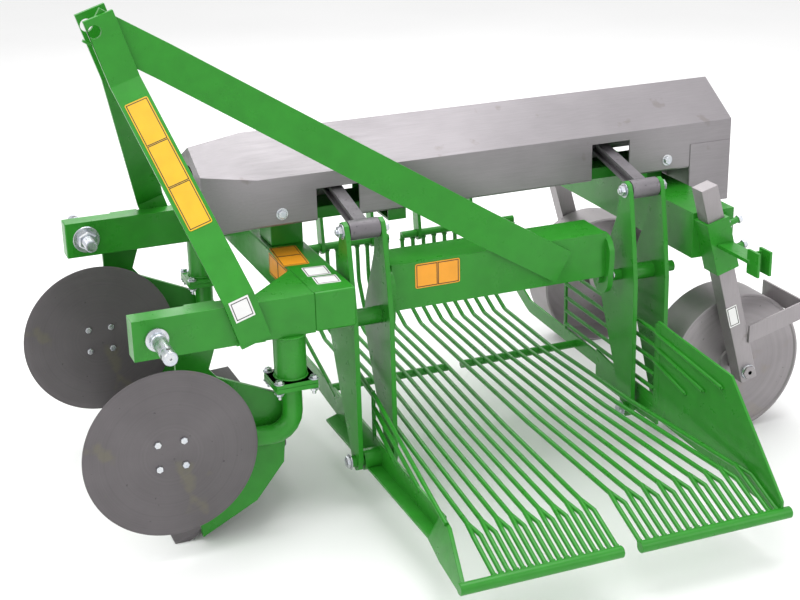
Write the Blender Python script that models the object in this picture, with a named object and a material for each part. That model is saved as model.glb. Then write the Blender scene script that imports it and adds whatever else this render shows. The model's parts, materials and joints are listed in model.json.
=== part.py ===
"""A single-row potato harvester for a tractor's three-point hitch, with a side-discharging shaker sieve.

Metres. +X is forward, +Y is left, +Z is up, and the floor is Z = 0. X and Y are drawn from the point midway
between the front ends of the hitch arms; the last step moves the origin under the middle of the machine.
"""

import math

import bmesh
import bpy
from mathutils import Matrix, Vector

# Fits
FIT = 0.0003  # gap between two fixed pieces that touch
RUN = 0.0006  # gap round a turning pin
SIDE_RUN = 0.0055  # gap beside a moving plate

# Hitch arms and cross beam
ARM_WIDTH = 0.042
ARM_HEIGHT = 0.080
ARM_TOP = 0.502
ARM_OUTSIDE = 0.341
ARM_REAR = -0.355
CROSS_DEPTH = 0.084
GUSSET_LENGTH = 0.110

# Lower hitch pins
PIN_X = -0.0445
PIN_RADIUS = 0.014
PIN_OUT = 0.108
PIN_IN = 0.109
COLLAR_RADIUS = 0.022
COLLAR_LENGTH = 0.020

# Mast
MAST_PLATE = 0.010
MAST_HALF_GAP = 0.034
TOP_PIN_X = -0.039
TOP_PIN_Z = 0.980
TOP_HOLE_RADIUS = 0.0128
MAST_BEND_Z = 0.880
MAST_FOOT_X = -0.215
MAST_FOOT_Z = 0.425
MAST_WIDTH = 0.062

# Main beam and brace
BEAM_OUTSIDE = 0.261
BEAM_WIDTH = 0.100
BEAM_HEIGHT = 0.097
BEAM_FRONT = -0.545
BEAM_REAR = -1.030
EAR_THICKNESS = 0.012
BRACE_WIDTH = 0.072
BRACE_THICKNESS = 0.010
BRACE_END_X = -0.925

# Rockers and sieve drive
PIVOT_Y = 0.240
PIVOT_Z = 0.396
PIVOT_RADIUS = 0.012
BOSS_WALL = 0.006
ROCKER_X = (-0.490, -1.120)
ROCKER_HALF_SPACING = 0.038
ROCKER_PLATE = 0.010
ROCKER_EYE = (0.250, 0.585)
ROCKER_OUTLINE = (  # Y and Z round one plate, from its eye down its outer edge and back
    (0.232, 0.585), (0.236, 0.599), (0.250, 0.605), (0.264, 0.599), (0.270, 0.583), (0.288, 0.480),
    (0.300, 0.396), (0.301, 0.340), (0.303, 0.110), (0.296, 0.086), (0.280, 0.078), (0.264, 0.086),
    (0.256, 0.108), (0.170, 0.300), (0.152, 0.345), (0.160, 0.395), (0.220, 0.520),
)
ROCKER_FOOT = (0.280, 0.100)
EYE_PIN_RADIUS = 0.010
FOOT_PIN_RADIUS = 0.012
SHAFT_Z = 0.640
SHAFT_RADIUS = 0.0175
SHAFT_FRONT = -0.180
SHAFT_REAR = -1.330
THROW = 0.007
ECCENTRIC_RADIUS = 0.026
ECCENTRIC_WIDTH = 0.034
BIG_END_BORE = 0.043
BIG_END_RADIUS = 0.052
EYE_RADIUS = 0.020

# Cover and spine
COVER_FRONT = -0.322
COVER_REAR = -1.4235
COVER_HALF = 0.113
COVER_FOLD_Z = 0.669
COVER_RIDGE_Z = 0.741
COVER_BOTTOM_Z = 0.568
COVER_REAR_BOTTOM_Z = 0.4825
COVER_SHEET = 0.004
NOSE_LENGTH = 0.110
NOSE_HALF = 0.085
NOSE_DROP = 0.040
SPINE_HALF = 0.050
SPINE_BOTTOM = 0.551
SPINE_HEIGHT = 0.026

# Sieves
SIEVE_PATH = (  # Y and Z of a rod, from its tube to its fork
    (-0.350, 0.345),
    (-0.345, 0.250),
    (-0.310, 0.185),
    (-0.240, 0.155),
    (0.000, 0.148),
    (0.330, 0.140),
)
SLANT_START = 0.050  # Y from which the rods spread towards the comb
FORK_Y, FORK_Z = 0.695, 0.142
COMB_Y, COMB_Z = 0.825, 0.100
ROD_RADIUS = 0.005
TINE_RADIUS = 0.004
TUBE_RADIUS = 0.009
COMB_RADIUS = 0.0115
GUARD_RADIUS = 0.0045
RODS = 9
FRONT_RODS_BACK = (-0.568, -0.772)
FRONT_RODS_FORK = (-0.515, -0.747)
REAR_RODS_BACK = (-0.812, -1.035)
REAR_RODS_FORK = (-0.811, -1.090)
SIDE_PLATE = 0.006
FRONT_SIDE_X = -0.500
FRONT_FLANGE_X = -0.468
FRONT_CORNER_X = -0.436
REAR_SIDE_X = -1.105
REAR_GUARDS = 5
REAR_GUARD_PITCH = 0.033
REAR_COMB_END = 0.018  # from the rear sheet to the end of its comb
HANGER_LENGTH = 0.200
HANGER_PLATE = 0.008
HANGER_TILT = math.atan2(ROCKER_FOOT[0] - PIVOT_Y, PIVOT_Z - ROCKER_FOOT[1])  # as the rockers lean at rest
HANG_LOW = SIEVE_PATH[0]
HANG_TOP = (
    HANG_LOW[0] - HANGER_LENGTH * math.sin(HANGER_TILT),
    HANG_LOW[1] + HANGER_LENGTH * math.cos(HANGER_TILT),
)
HANGER_X = tuple(
    back[0] + (back[1] - back[0]) * gap / (RODS - 1)
    for back in (FRONT_RODS_BACK, REAR_RODS_BACK)
    for gap in (1.5, RODS - 2.5)
)
HANG_PIN_RADIUS = 0.008
RAIL_SIDE = 0.040
RAIL_BOTTOM = HANG_TOP[1] + 0.018

# Rear beam, wheel legs, wheels
REAR_BEAM_FRONT = -1.215
REAR_BEAM_DEPTH = 0.100
REAR_BEAM_TOP = 0.530
REAR_BEAM_HEIGHT = 0.100
WHEEL_X = -1.342
WHEEL_RADIUS = 0.163
WHEEL_WIDTH = 0.100
WHEEL_LEFT_FACE = 0.300
WHEEL_RIGHT_FACE = -0.300
RIM_THICKNESS = 0.005
LEG_SIDE = 0.040
LEG_TILT = math.radians(15.5)
LEG_ABOVE_AXLE = 0.450
LEG_BELOW_AXLE = 0.022
SLEEVE_WALL = 0.006
SLEEVE_LOW, SLEEVE_HIGH = 0.255, 0.375
LEG_FIT = 0.0008
LEG_GAP = 0.008
AXLE_RADIUS = 0.010
LEG_LEFT = WHEEL_LEFT_FACE + LEG_GAP + LEG_SIDE / 2
LEG_RIGHT = WHEEL_RIGHT_FACE - WHEEL_WIDTH - LEG_GAP - LEG_SIDE / 2

# Discs and their arms
DISC_X = -0.052
DISC_Z = 0.230
DISC_RADIUS = 0.170
DISC_THICKNESS = 0.006
DISC_OFFSET = 0.034
DISC_BOLT_CIRCLE = 0.036
POST_X = -0.306
POST_RADIUS = 0.032
PIPE_RADIUS = 0.0205
FLANGE_HALF = 0.042
FLANGE_Z = 0.325
FLANGE_PLATE = 0.009
ELBOW_Z = 0.215
HUB_RADIUS = 0.034
DISC_PIN_RADIUS = 0.010

# Share
SHARE_TIP_X = -0.060
SHARE_SHOULDER_X = -0.230
SHARE_REAR_X = -0.330
SHARE_REAR_Z = 0.120
SHARE_THICKNESS = 0.010
SHARE_EDGE = 0.002
SHARE_TIP_RUN = 0.030
SHARE_TAPER = 0.100
SHARE_LEG_THICKNESS = 0.012

SEGMENTS = 20

GREEN = (0.035, 0.28, 0.045, 1)
STEEL = (0.30, 0.28, 0.29, 1)
SHEET = (0.45, 0.44, 0.46, 1)
ZINC = (0.62, 0.63, 0.65, 1)


def material(name, colour, metallic, roughness):
    made = bpy.data.materials.new(name)
    made.use_nodes = True
    shader = made.node_tree.nodes["Principled BSDF"]
    shader.inputs["Base Color"].default_value = colour
    shader.inputs["Metallic"].default_value = metallic
    shader.inputs["Roughness"].default_value = roughness
    return made


def mesh_object(bm):
    bmesh.ops.recalc_face_normals(bm, faces=bm.faces)
    mesh = bpy.data.meshes.new("shape")
    bm.to_mesh(mesh)
    bm.free()
    shape = bpy.data.objects.new("shape", mesh)
    bpy.context.scene.collection.objects.link(shape)
    return shape


def loft(rings):
    """A closed body through rings of as many points each, with flat ends."""
    bm = bmesh.new()
    rows = [[bm.verts.new(point) for point in ring] for ring in rings]
    for low, high in zip(rows, rows[1:]):
        for i in range(len(low)):
            j = (i + 1) % len(low)
            bm.faces.new((low[i], low[j], high[j], high[i]))
    bm.faces.new(rows[0])
    bm.faces.new(rows[-1])
    return mesh_object(bm)


def along(axis, value, a, b):
    """A point whose coordinate on the axis is value; a and b are the other two, in the order X, Y, Z."""
    point = [a, b]
    point.insert("XYZ".index(axis), value)
    return Vector(point)


def prism(axis, outline, start, end):
    return loft([[along(axis, value, a, b) for a, b in outline] for value in (start, end)])


def box(x0, x1, y0, y1, z0, z1):
    return prism("Z", ((x0, y0), (x1, y0), (x1, y1), (x0, y1)), z0, z1)


def ring_points(centre, radius, sides=SEGMENTS, turn=0.0):
    return [
        (
            centre[0] + radius * math.cos(turn + 2 * math.pi * i / sides),
            centre[1] + radius * math.sin(turn + 2 * math.pi * i / sides),
        )
        for i in range(sides)
    ]


def cylinder(axis, centre, radius, start, end, sides=SEGMENTS, turn=0.0):
    return prism(axis, ring_points(centre, radius, sides, turn), start, end)


def sweep(points, section):
    """A bar along the points. The section gives offsets across it: towards its side, then towards its top."""
    points = [Vector(point) for point in points]
    steps = [(b - a).normalized() for a, b in zip(points, points[1:])]
    tangents = [steps[0]] + [(a + b).normalized() for a, b in zip(steps, steps[1:])] + [steps[-1]]
    guide = Vector((1, 0, 0)) if abs(steps[0].x) < 0.9 else Vector((0, 0, 1))
    rings = []
    for i, (point, tangent) in enumerate(zip(points, tangents)):
        side = (guide - tangent * guide.dot(tangent)).normalized()
        top = tangent.cross(side)
        stretch = 1 / max(0.5, tangent.dot(steps[min(i, len(steps) - 1)]))
        rings.append([point + side * a + top * b * stretch for a, b in section])
    return loft(rings)


def flat_bar(points, half_thick, half_high):
    """A flat bar along the points; half_thick is across it and half_high is towards its top."""
    corners = ((-1, -1), (1, -1), (1, 1), (-1, 1))
    return sweep(points, [(a * half_thick, b * half_high) for a, b in corners])


def rod(points, radius, sides=6):
    return sweep(points, ring_points((0, 0), radius, sides))


def rounded(centres, radii, steps=8):
    """The outline round two circles, joined by straight sides."""
    (a, b), (ra, rb) = centres, radii
    angle = math.atan2(b[1] - a[1], b[0] - a[0])
    lean = math.acos((ra - rb) / math.dist(a, b))
    points = []
    for centre, radius, first, last in (
        (a, ra, angle + lean, angle + 2 * math.pi - lean),
        (b, rb, angle - lean, angle + lean),
    ):
        for i in range(steps + 1):
            t = first + (last - first) * i / steps
            points.append((centre[0] + radius * math.cos(t), centre[1] + radius * math.sin(t)))
    return points


def combined(shapes, operation):
    """The first shape with all the others joined to it or cut from it."""
    body, others = shapes[0], shapes[1:]
    if not others:
        return body
    group = bpy.data.collections.new("others")
    bpy.context.scene.collection.children.link(group)
    for other in others:
        bpy.context.scene.collection.objects.unlink(other)
        group.objects.link(other)
    change = body.modifiers.new("combine", "BOOLEAN")
    change.operation = operation
    change.solver = "EXACT"
    change.operand_type = "COLLECTION"
    change.collection = group
    graph = bpy.context.evaluated_depsgraph_get()
    mesh = bpy.data.meshes.new_from_object(body.evaluated_get(graph))
    body.modifiers.clear()
    body.data = mesh
    for other in others:
        bpy.data.objects.remove(other, do_unlink=True)
    bpy.data.collections.remove(group)
    return body


def join(*shapes):
    return combined(shapes, "UNION")


def cut(body, *cutters):
    """Each cutter is taken away in turn, so that cutters may overlap."""
    for cutter in cutters:
        body = combined((body, cutter), "DIFFERENCE")
    return body


def named(name, body, surface, origin=(0, 0, 0)):
    body.name = name
    body.data.name = name
    body.data.materials.clear()
    body.data.materials.append(surface)
    body.data.transform(Matrix.Translation(-Vector(origin)))
    body.location = origin
    for face in body.data.polygons:
        face.use_smooth = True
    body.data.set_sharp_from_angle(angle=math.radians(35))
    return body


def placed(body, matrix):
    body.data.transform(matrix)
    return body


def bolt(axis, centre, start, end, radius=0.009):
    """A bolt head or nut: a six-sided block on a plate."""
    return cylinder(axis, centre, radius, start, end, 6)


def hitch(green, zinc):
    for side, word in ((1, "left"), (-1, "right")):
        inner, outer = side * (ARM_OUTSIDE - ARM_WIDTH), side * ARM_OUTSIDE
        arm = box(ARM_REAR + FIT, 0, inner, outer, ARM_TOP - ARM_HEIGHT, ARM_TOP)
        hole = cylinder(
            "Y", (PIN_X, ARM_TOP - ARM_HEIGHT / 2), PIN_RADIUS + FIT, inner - side * 0.01, outer + side * 0.01
        )
        named("hitch_arm_" + word, cut(arm, hole), green)
        centre = (PIN_X, ARM_TOP - ARM_HEIGHT / 2)
        pin = join(
            cylinder("Y", centre, PIN_RADIUS, inner - side * PIN_IN, outer + side * PIN_OUT),
            cylinder("Y", centre, COLLAR_RADIUS, outer + side * FIT, outer + side * COLLAR_LENGTH, 6),
            cylinder("Y", centre, COLLAR_RADIUS, inner - side * (FIT + 0.016), inner - side * FIT, 6),
        )
        hole = (outer + side * (PIN_OUT - 0.018), centre[1])
        cotter = cylinder("X", hole, 0.0045, PIN_X - 0.03, PIN_X + 0.03, 10)
        named("hitch_pin_" + word, cut(pin, cotter), zinc)
    cross = box(ARM_REAR - CROSS_DEPTH, ARM_REAR, -ARM_OUTSIDE, ARM_OUTSIDE, ARM_TOP - ARM_HEIGHT, ARM_TOP)
    named("cross_beam", cross, green)
    inner = ARM_OUTSIDE - ARM_WIDTH
    for side, word in ((1, "left"), (-1, "right")):
        edge = side * (inner - FIT)
        gusset = prism(
            "Z",
            (
                (ARM_REAR + FIT, edge),
                (ARM_REAR + GUSSET_LENGTH, edge),
                (ARM_REAR + FIT, side * (inner - GUSSET_LENGTH)),
            ),
            ARM_TOP - 0.010,
            ARM_TOP - 0.001,
        )
        named("gusset_" + word, gusset, green)


def mast(green):
    for side, word in ((1, "left"), (-1, "right")):
        top = side * (MAST_HALF_GAP + MAST_PLATE / 2)
        foot = side * (ARM_OUTSIDE + FIT + MAST_PLATE / 2)
        slope = (MAST_FOOT_X - TOP_PIN_X) / (MAST_FOOT_Z - TOP_PIN_Z)

        def leg_x(z):
            return TOP_PIN_X - 0.012 + slope * (z - TOP_PIN_Z) - 0.006

        section = ((-MAST_WIDTH / 2, -MAST_PLATE / 2), (MAST_WIDTH / 2, -MAST_PLATE / 2))
        section += tuple((-a, -b) for a, b in section)
        lean = math.atan(slope)
        path = (
            (leg_x(TOP_PIN_Z + 0.030), top, TOP_PIN_Z + 0.030),
            (leg_x(MAST_BEND_Z), top, MAST_BEND_Z),
            (leg_x(ARM_TOP + 0.018), foot, ARM_TOP + 0.018),
            (leg_x(MAST_FOOT_Z), foot, MAST_FOOT_Z),
        )
        rings = []
        for x, y, z in path:
            rings.append(
                [
                    Vector((x + a * math.cos(lean), y + b, z - a * math.sin(lean)))
                    for a, b in section
                ]
            )
        leg = loft(rings)
        hole = cylinder("Y", (TOP_PIN_X, TOP_PIN_Z), TOP_HOLE_RADIUS, top - 0.02, top + 0.02)
        named("mast_leg_" + word, cut(leg, hole), green)


def brace(green):
    """The flat bar from the mast's top to the main beam's side, with a bend near each end."""
    inside = MAST_HALF_GAP - FIT - BRACE_THICKNESS / 2
    landed = BEAM_OUTSIDE + FIT + BRACE_THICKNESS / 2
    drop = (TOP_PIN_Z - 0.010 - (ARM_TOP - 0.052)) / (-0.080 - BRACE_END_X)
    half = BRACE_WIDTH / 2

    def centre_z(x):
        return TOP_PIN_Z - 0.016 + drop * (x + 0.080)

    lean = math.atan(drop)
    rings = []
    for x, y in ((-0.035, inside), (-0.170, inside), (-0.740, landed), (BRACE_END_X, landed)):
        rings.append(
            [
                Vector((x + a * math.sin(lean), y + b, centre_z(x) - a * math.cos(lean)))
                for a, b in (
                    (-half, -BRACE_THICKNESS / 2),
                    (half, -BRACE_THICKNESS / 2),
                    (half, BRACE_THICKNESS / 2),
                    (-half, BRACE_THICKNESS / 2),
                )
            ]
        )
    bar = loft(rings)
    hole = cylinder("Y", (TOP_PIN_X, TOP_PIN_Z), TOP_HOLE_RADIUS + 0.012, inside - 0.02, inside + 0.02)
    named("mast_brace", cut(bar, hole), green)


def main_beam(green):
    inside = BEAM_OUTSIDE - BEAM_WIDTH
    bottom = ARM_TOP - BEAM_HEIGHT
    tube = box(BEAM_REAR, BEAM_FRONT, inside, BEAM_OUTSIDE, bottom, ARM_TOP)
    ears = [
        prism(
            "X",
            rounded(((PIVOT_Y, PIVOT_Z), (PIVOT_Y, ARM_TOP - 0.045)), (0.034, 0.040)),
            x,
            x + EAR_THICKNESS,
        )
        for x in (BEAM_FRONT - 0.001, BEAM_REAR - EAR_THICKNESS + 0.001)
    ]
    pivots = [
        cylinder("X", (PIVOT_Y, PIVOT_Z), PIVOT_RADIUS, BEAM_FRONT - 0.010, ARM_REAR - CROSS_DEPTH - FIT),
        cylinder("X", (PIVOT_Y, PIVOT_Z), PIVOT_RADIUS, REAR_BEAM_FRONT + 0.009, BEAM_REAR + 0.010),
    ]
    ear_back = BEAM_REAR - EAR_THICKNESS
    nut = bolt("X", (PIVOT_Y, PIVOT_Z), ear_back - 0.008, ear_back + 0.002, 0.022)
    named("main_beam", join(tube, *ears, *pivots, nut), green)


def rockers(green):
    """Two plates each, joined by a boss round the pivot and by the pin of the connecting rod's eye."""
    outer = ROCKER_HALF_SPACING + ROCKER_PLATE / 2
    inner = ROCKER_HALF_SPACING - ROCKER_PLATE / 2
    reach = ROCKER_HALF_SPACING + ROCKER_PLATE
    pivot = (PIVOT_Y, PIVOT_Z)
    for x, word in zip(ROCKER_X, ("front", "rear")):
        plates = [prism("X", ROCKER_OUTLINE, x + side * outer, x + side * inner) for side in (1, -1)]
        boss = cylinder(
            "X", pivot, PIVOT_RADIUS + BOSS_WALL, x - ROCKER_HALF_SPACING, x + ROCKER_HALF_SPACING
        )
        pin = cylinder("X", ROCKER_EYE, EYE_PIN_RADIUS, x - inner - 0.006, x + inner + 0.006)
        heads = [
            bolt("X", ROCKER_EYE, x + side * (outer - 0.001), x + side * (outer + 0.008)) for side in (1, -1)
        ]
        holes = [
            cylinder("X", pivot, PIVOT_RADIUS + RUN, x - reach, x + reach),
            cylinder("X", ROCKER_FOOT, FOOT_PIN_RADIUS + RUN, x - reach, x + reach),
        ]
        body = cut(join(*plates, boss, pin, *heads), *holes)
        named("rocker_" + word, body, green, (x, PIVOT_Y, PIVOT_Z))


def rods_and_shaft(steel):
    half = ROCKER_HALF_SPACING - ROCKER_PLATE / 2 - 0.0015
    for centre, word in zip(ROCKER_X, ("front", "rear")):
        big = (0.0, SHAFT_Z)
        reach = math.dist(big, ROCKER_EYE)
        way = ((ROCKER_EYE[0] - big[0]) / reach, (ROCKER_EYE[1] - big[1]) / reach)
        neck = (big[0] + way[0] * (BIG_END_RADIUS - 0.004), big[1] + way[1] * (BIG_END_RADIUS - 0.004))
        end = (ROCKER_EYE[0] - way[0] * (EYE_RADIUS - 0.004), ROCKER_EYE[1] - way[1] * (EYE_RADIUS - 0.004))
        web = flat_bar(((centre, *neck), (centre, *end)), 0.005, 0.012)
        flanges = []
        for lift in (-0.011, 0.011):
            shift = (-way[1] * lift, way[0] * lift)
            ends = [(centre, y + shift[0], z + shift[1]) for y, z in (neck, end)]
            flanges.append(flat_bar(ends, 0.013, 0.003))
        body = join(
            cylinder("X", big, BIG_END_RADIUS, centre - 0.016, centre + 0.016, 28),
            cylinder("X", ROCKER_EYE, EYE_RADIUS, centre - half, centre + half),
            web,
            *flanges,
        )
        body = cut(
            body,
            cylinder("X", big, BIG_END_BORE, centre - 0.05, centre + 0.05, 28),
            cylinder("X", ROCKER_EYE, EYE_PIN_RADIUS + RUN, centre - 0.05, centre + 0.05),
        )
        named("connecting_rod_" + word, body, steel, (centre, *ROCKER_EYE))
    axis = (0.0, SHAFT_Z)
    shaft = [
        cylinder("X", axis, SHAFT_RADIUS, SHAFT_REAR, SHAFT_FRONT),
    ]
    half = ECCENTRIC_WIDTH / 2
    for x, throw in zip(ROCKER_X, (THROW, -THROW)):
        shaft.append(cylinder("X", (0.0, SHAFT_Z + throw), ECCENTRIC_RADIUS, x - half, x + half))
    named("eccentric_shaft", join(*shaft), steel, (ROCKER_X[0], 0, SHAFT_Z))


def bearings(steel):
    """Three pillow blocks on the spine carry the shaft."""
    for x, word in ((-0.385, "front"), (-0.800, "middle"), (-1.275, "rear")):
        top = SPINE_BOTTOM + SPINE_HEIGHT
        block = join(
            cylinder("X", (0, SHAFT_Z), 0.036, x - 0.020, x + 0.020),
            box(x - 0.020, x + 0.020, -0.034, 0.034, top + FIT, SHAFT_Z),
        )
        block = cut(block, cylinder("X", (0, SHAFT_Z), SHAFT_RADIUS + RUN, x - 0.05, x + 0.05))
        named("bearing_" + word, block, steel)


def spine(green):
    """The flat beam under the shaft, its feet, and the far rail that the sieves hang from."""
    top = SPINE_BOTTOM + SPINE_HEIGHT
    body = join(
        box(-1.300, -0.360, -SPINE_HALF, SPINE_HALF, SPINE_BOTTOM, top),
        box(-0.435, -0.365, -0.040, 0.040, ARM_TOP + FIT, SPINE_BOTTOM + 0.003),
        box(-1.295, -1.225, -0.040, 0.040, REAR_BEAM_TOP + FIT, SPINE_BOTTOM + 0.003),
    )
    named("spine", body, green)
    far, near, roof = HANG_TOP[0] - RAIL_SIDE / 2, HANG_TOP[0] + RAIL_SIDE / 2, RAIL_BOTTOM + RAIL_SIDE
    rail = box(-1.285, -0.375, far, near, RAIL_BOTTOM, roof)
    lugs = [
        box(-0.435, -0.375, far, 0.080 - ARM_OUTSIDE, ARM_TOP + FIT, roof),
        box(-1.285, -1.225, far, 0.080 - ARM_OUTSIDE, REAR_BEAM_TOP + FIT, roof),
    ]
    y, z = HANG_TOP
    gap = HANGER_PLATE / 2 + 0.006
    for x in HANGER_X:
        for low in (x - gap - 0.008, x + gap):
            lugs.append(box(low, low + 0.008, y - 0.016, y + 0.016, z - 0.016, RAIL_BOTTOM + 0.005))
        lugs.append(cylinder("X", HANG_TOP, HANG_PIN_RADIUS, x - gap - 0.002, x + gap + 0.002, 12))
    named("hanger_rail", join(rail, *lugs), green)


def hangers(green):
    for i, x in enumerate(HANGER_X):
        outline = rounded((HANG_LOW, HANG_TOP), (0.017, 0.014), 7)
        body = prism("X", outline, x - HANGER_PLATE / 2, x + HANGER_PLATE / 2)
        body = cut(
            body,
            cylinder("X", HANG_LOW, TUBE_RADIUS + RUN + 0.0006, x - 0.02, x + 0.02, 16),
            cylinder("X", HANG_TOP, HANG_PIN_RADIUS + RUN, x - 0.02, x + 0.02, 16),
        )
        named(f"hanger_{i + 1}", body, green, (x, *HANG_TOP))


def front_side():
    """The front sieve's side: an angle between the rocker's plates, its corner plate and its guard rods."""
    x = FRONT_SIDE_X
    low, high = x - SIDE_PLATE / 2, x + SIDE_PLATE / 2
    edge, corner = FRONT_FLANGE_X, FRONT_CORNER_X
    web = (
        (-0.200, 0.110), (0.100, 0.082), (0.620, 0.082), (0.620, 0.128), (0.330, 0.132), (0.250, 0.140),
        (-0.200, 0.150),
    )
    flange = ((low, 0.020), (edge, 0.040), (edge, 0.620), (low, 0.620))
    corner_plate = [
        [(low, 0.605, 0.083), (edge, 0.605, 0.083), (high, 0.605, 0.127), (low, 0.605, 0.127)],
        [(x + a, 0.700, z) for a, z in ((0.020, 0.084), (0.048, 0.084), (0.030, 0.150), (0.022, 0.150))],
        [(a, COMB_Y, z) for a, z in ((x + 0.050, 0.091), (corner, 0.091), (x + 0.060, 0.109), (x + 0.052, 0.109))],
    ]
    pin_end = ROCKER_X[0] + ROCKER_HALF_SPACING + 0.016
    collar_end = ROCKER_X[0] + ROCKER_HALF_SPACING - ROCKER_PLATE / 2 - SIDE_RUN
    post_y = 0.254
    guards = [
        ((x, post_y, 0.230), (x + 0.024, 0.680, 0.147)),
        ((x, post_y, 0.200), (x, 0.500, 0.122)),
        ((x, post_y, 0.170), (x, 0.380, 0.122)),
        ((x, -0.346, 0.338), (x, post_y, 0.230)),
        ((x, -0.340, 0.240), (x, 0.020, 0.130)),
        ((x, -0.350, 0.345), (x, -0.345, 0.250), (x, -0.310, 0.185), (x, -0.180, 0.130)),
    ]
    return [
        prism("X", web, low, high),
        prism("Z", flange, 0.082, 0.088),
        loft(corner_plate),
        cylinder("X", ROCKER_FOOT, FOOT_PIN_RADIUS, ROCKER_X[0] - ROCKER_HALF_SPACING - 0.006, pin_end, 16),
        cylinder("X", ROCKER_FOOT, FOOT_PIN_RADIUS + 0.010, x, collar_end, 16),
        box(x - 0.004, x + 0.004, post_y - 0.004, post_y + 0.004, 0.125, 0.236),
        *(rod(points, GUARD_RADIUS) for points in guards),
    ]


def rear_side():
    """The rear sieve's side: a strip along the rods, a tall sheet, and the guard rods behind it."""
    x = REAR_SIDE_X
    low, high = x - SIDE_PLATE / 2, x + SIDE_PLATE / 2
    strip = [(x, y, z - 0.004) for y, z in SIEVE_PATH] + [(x, 0.460, 0.131)]
    foot = ((0.100, 0.090), (0.370, 0.090), (0.370, 0.125), (0.100, 0.165))
    tall = ((0.360, 0.105), (0.360, 0.326), (0.402, 0.322), (0.637, 0.310), (COMB_Y, 0.125), (COMB_Y, 0.092))
    pin_ends = (ROCKER_X[1] - ROCKER_HALF_SPACING - 0.010, ROCKER_X[1] + ROCKER_HALF_SPACING + 0.016)
    shapes = [
        flat_bar(strip, SIDE_PLATE / 2, 0.016),
        cylinder("X", ROCKER_FOOT, FOOT_PIN_RADIUS, *pin_ends, 16),
        prism("X", foot, low, high),
        prism("X", tall, low, high),
        box(low, high, -0.060, -0.050, 0.140, 0.315),
    ]
    for i in range(REAR_GUARDS):
        z = 0.172 + REAR_GUARD_PITCH * i
        shapes.append(rod(((x, -0.055, z), (x, 0.365, z - 0.006)), GUARD_RADIUS))
    return shapes


def sieve(word, green):
    """Rods hang from a tube, curve into the floor and fork into tines at the comb; one edge has a side."""
    front = word == "front"
    back = FRONT_RODS_BACK if front else REAR_RODS_BACK
    fork = FRONT_RODS_FORK if front else REAR_RODS_FORK
    side_x = FRONT_SIDE_X if front else REAR_SIDE_X
    comb = (fork[1] - 0.014, FRONT_CORNER_X) if front else (side_x - REAR_COMB_END, fork[0] + 0.014)
    spread = abs(fork[1] - fork[0]) / (RODS - 1) / 4
    shapes = []
    for i in range(RODS):
        share = i / (RODS - 1)
        x = back[0] + (back[1] - back[0]) * share
        x_fork = fork[0] + (fork[1] - fork[0]) * share
        slant = (x_fork - x) / (FORK_Y - SLANT_START)
        path = [(x + slant * max(0.0, y - SLANT_START), y, z) for y, z in (*SIEVE_PATH, (FORK_Y, FORK_Z))]
        shapes.append(rod(path, ROD_RADIUS))
        for side in (1, -1):
            end = x_fork + side * spread
            bend = (end, FORK_Y + 0.034, FORK_Z - 0.003)
            shapes.append(rod(((x_fork, FORK_Y - 0.004, FORK_Z), bend, (end, COMB_Y, COMB_Z)), TINE_RADIUS))
    ends = (min(back[1], side_x) - 0.004, max(back[0], side_x) + 0.002)
    for y, z in (SIEVE_PATH[0], (0.0, 0.141)):
        shapes.append(cylinder("X", (y, z), TUBE_RADIUS, *ends, 12))
    shapes.append(cylinder("X", (COMB_Y, COMB_Z), COMB_RADIUS, *comb, 12))
    body = join(*shapes, *(front_side() if front else rear_side()))
    named("sieve_" + word, body, green, (side_x, *ROCKER_FOOT))


def rear_beam(green):
    """The rear cross beam with a clamping sleeve at each end for the wheel legs."""
    low, high = REAR_BEAM_TOP - REAR_BEAM_HEIGHT, REAR_BEAM_TOP
    reach = LEG_SIDE / 2 + SLEEVE_WALL
    back = REAR_BEAM_FRONT - REAR_BEAM_DEPTH
    shapes = [box(back, REAR_BEAM_FRONT, LEG_RIGHT + reach, LEG_LEFT - reach, low, high)]
    cutters = []
    for y in (LEG_LEFT, LEG_RIGHT):
        half = LEG_SIDE / 2 + LEG_FIT
        outer = half + SLEEVE_WALL
        slant = Matrix.Translation((WHEEL_X, y, WHEEL_RADIUS)) @ Matrix.Rotation(LEG_TILT, 4, "Y")
        shapes.append(placed(box(-outer, outer, -outer, outer, SLEEVE_LOW, SLEEVE_HIGH), slant))
        cutters.append(placed(box(-half, half, -half, half, SLEEVE_LOW - 0.3, SLEEVE_HIGH + 0.3), slant))
        for z in (SLEEVE_LOW + 0.030, SLEEVE_HIGH - 0.030):
            shapes.append(placed(cylinder("X", (0, z), 0.007, -outer - 0.034, -outer + 0.004, 10), slant))
            shapes.append(placed(cylinder("X", (0, z), 0.013, -outer - 0.012, -outer + 0.004, 6), slant))
    named("rear_beam", cut(join(*shapes), *cutters), green)


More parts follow.
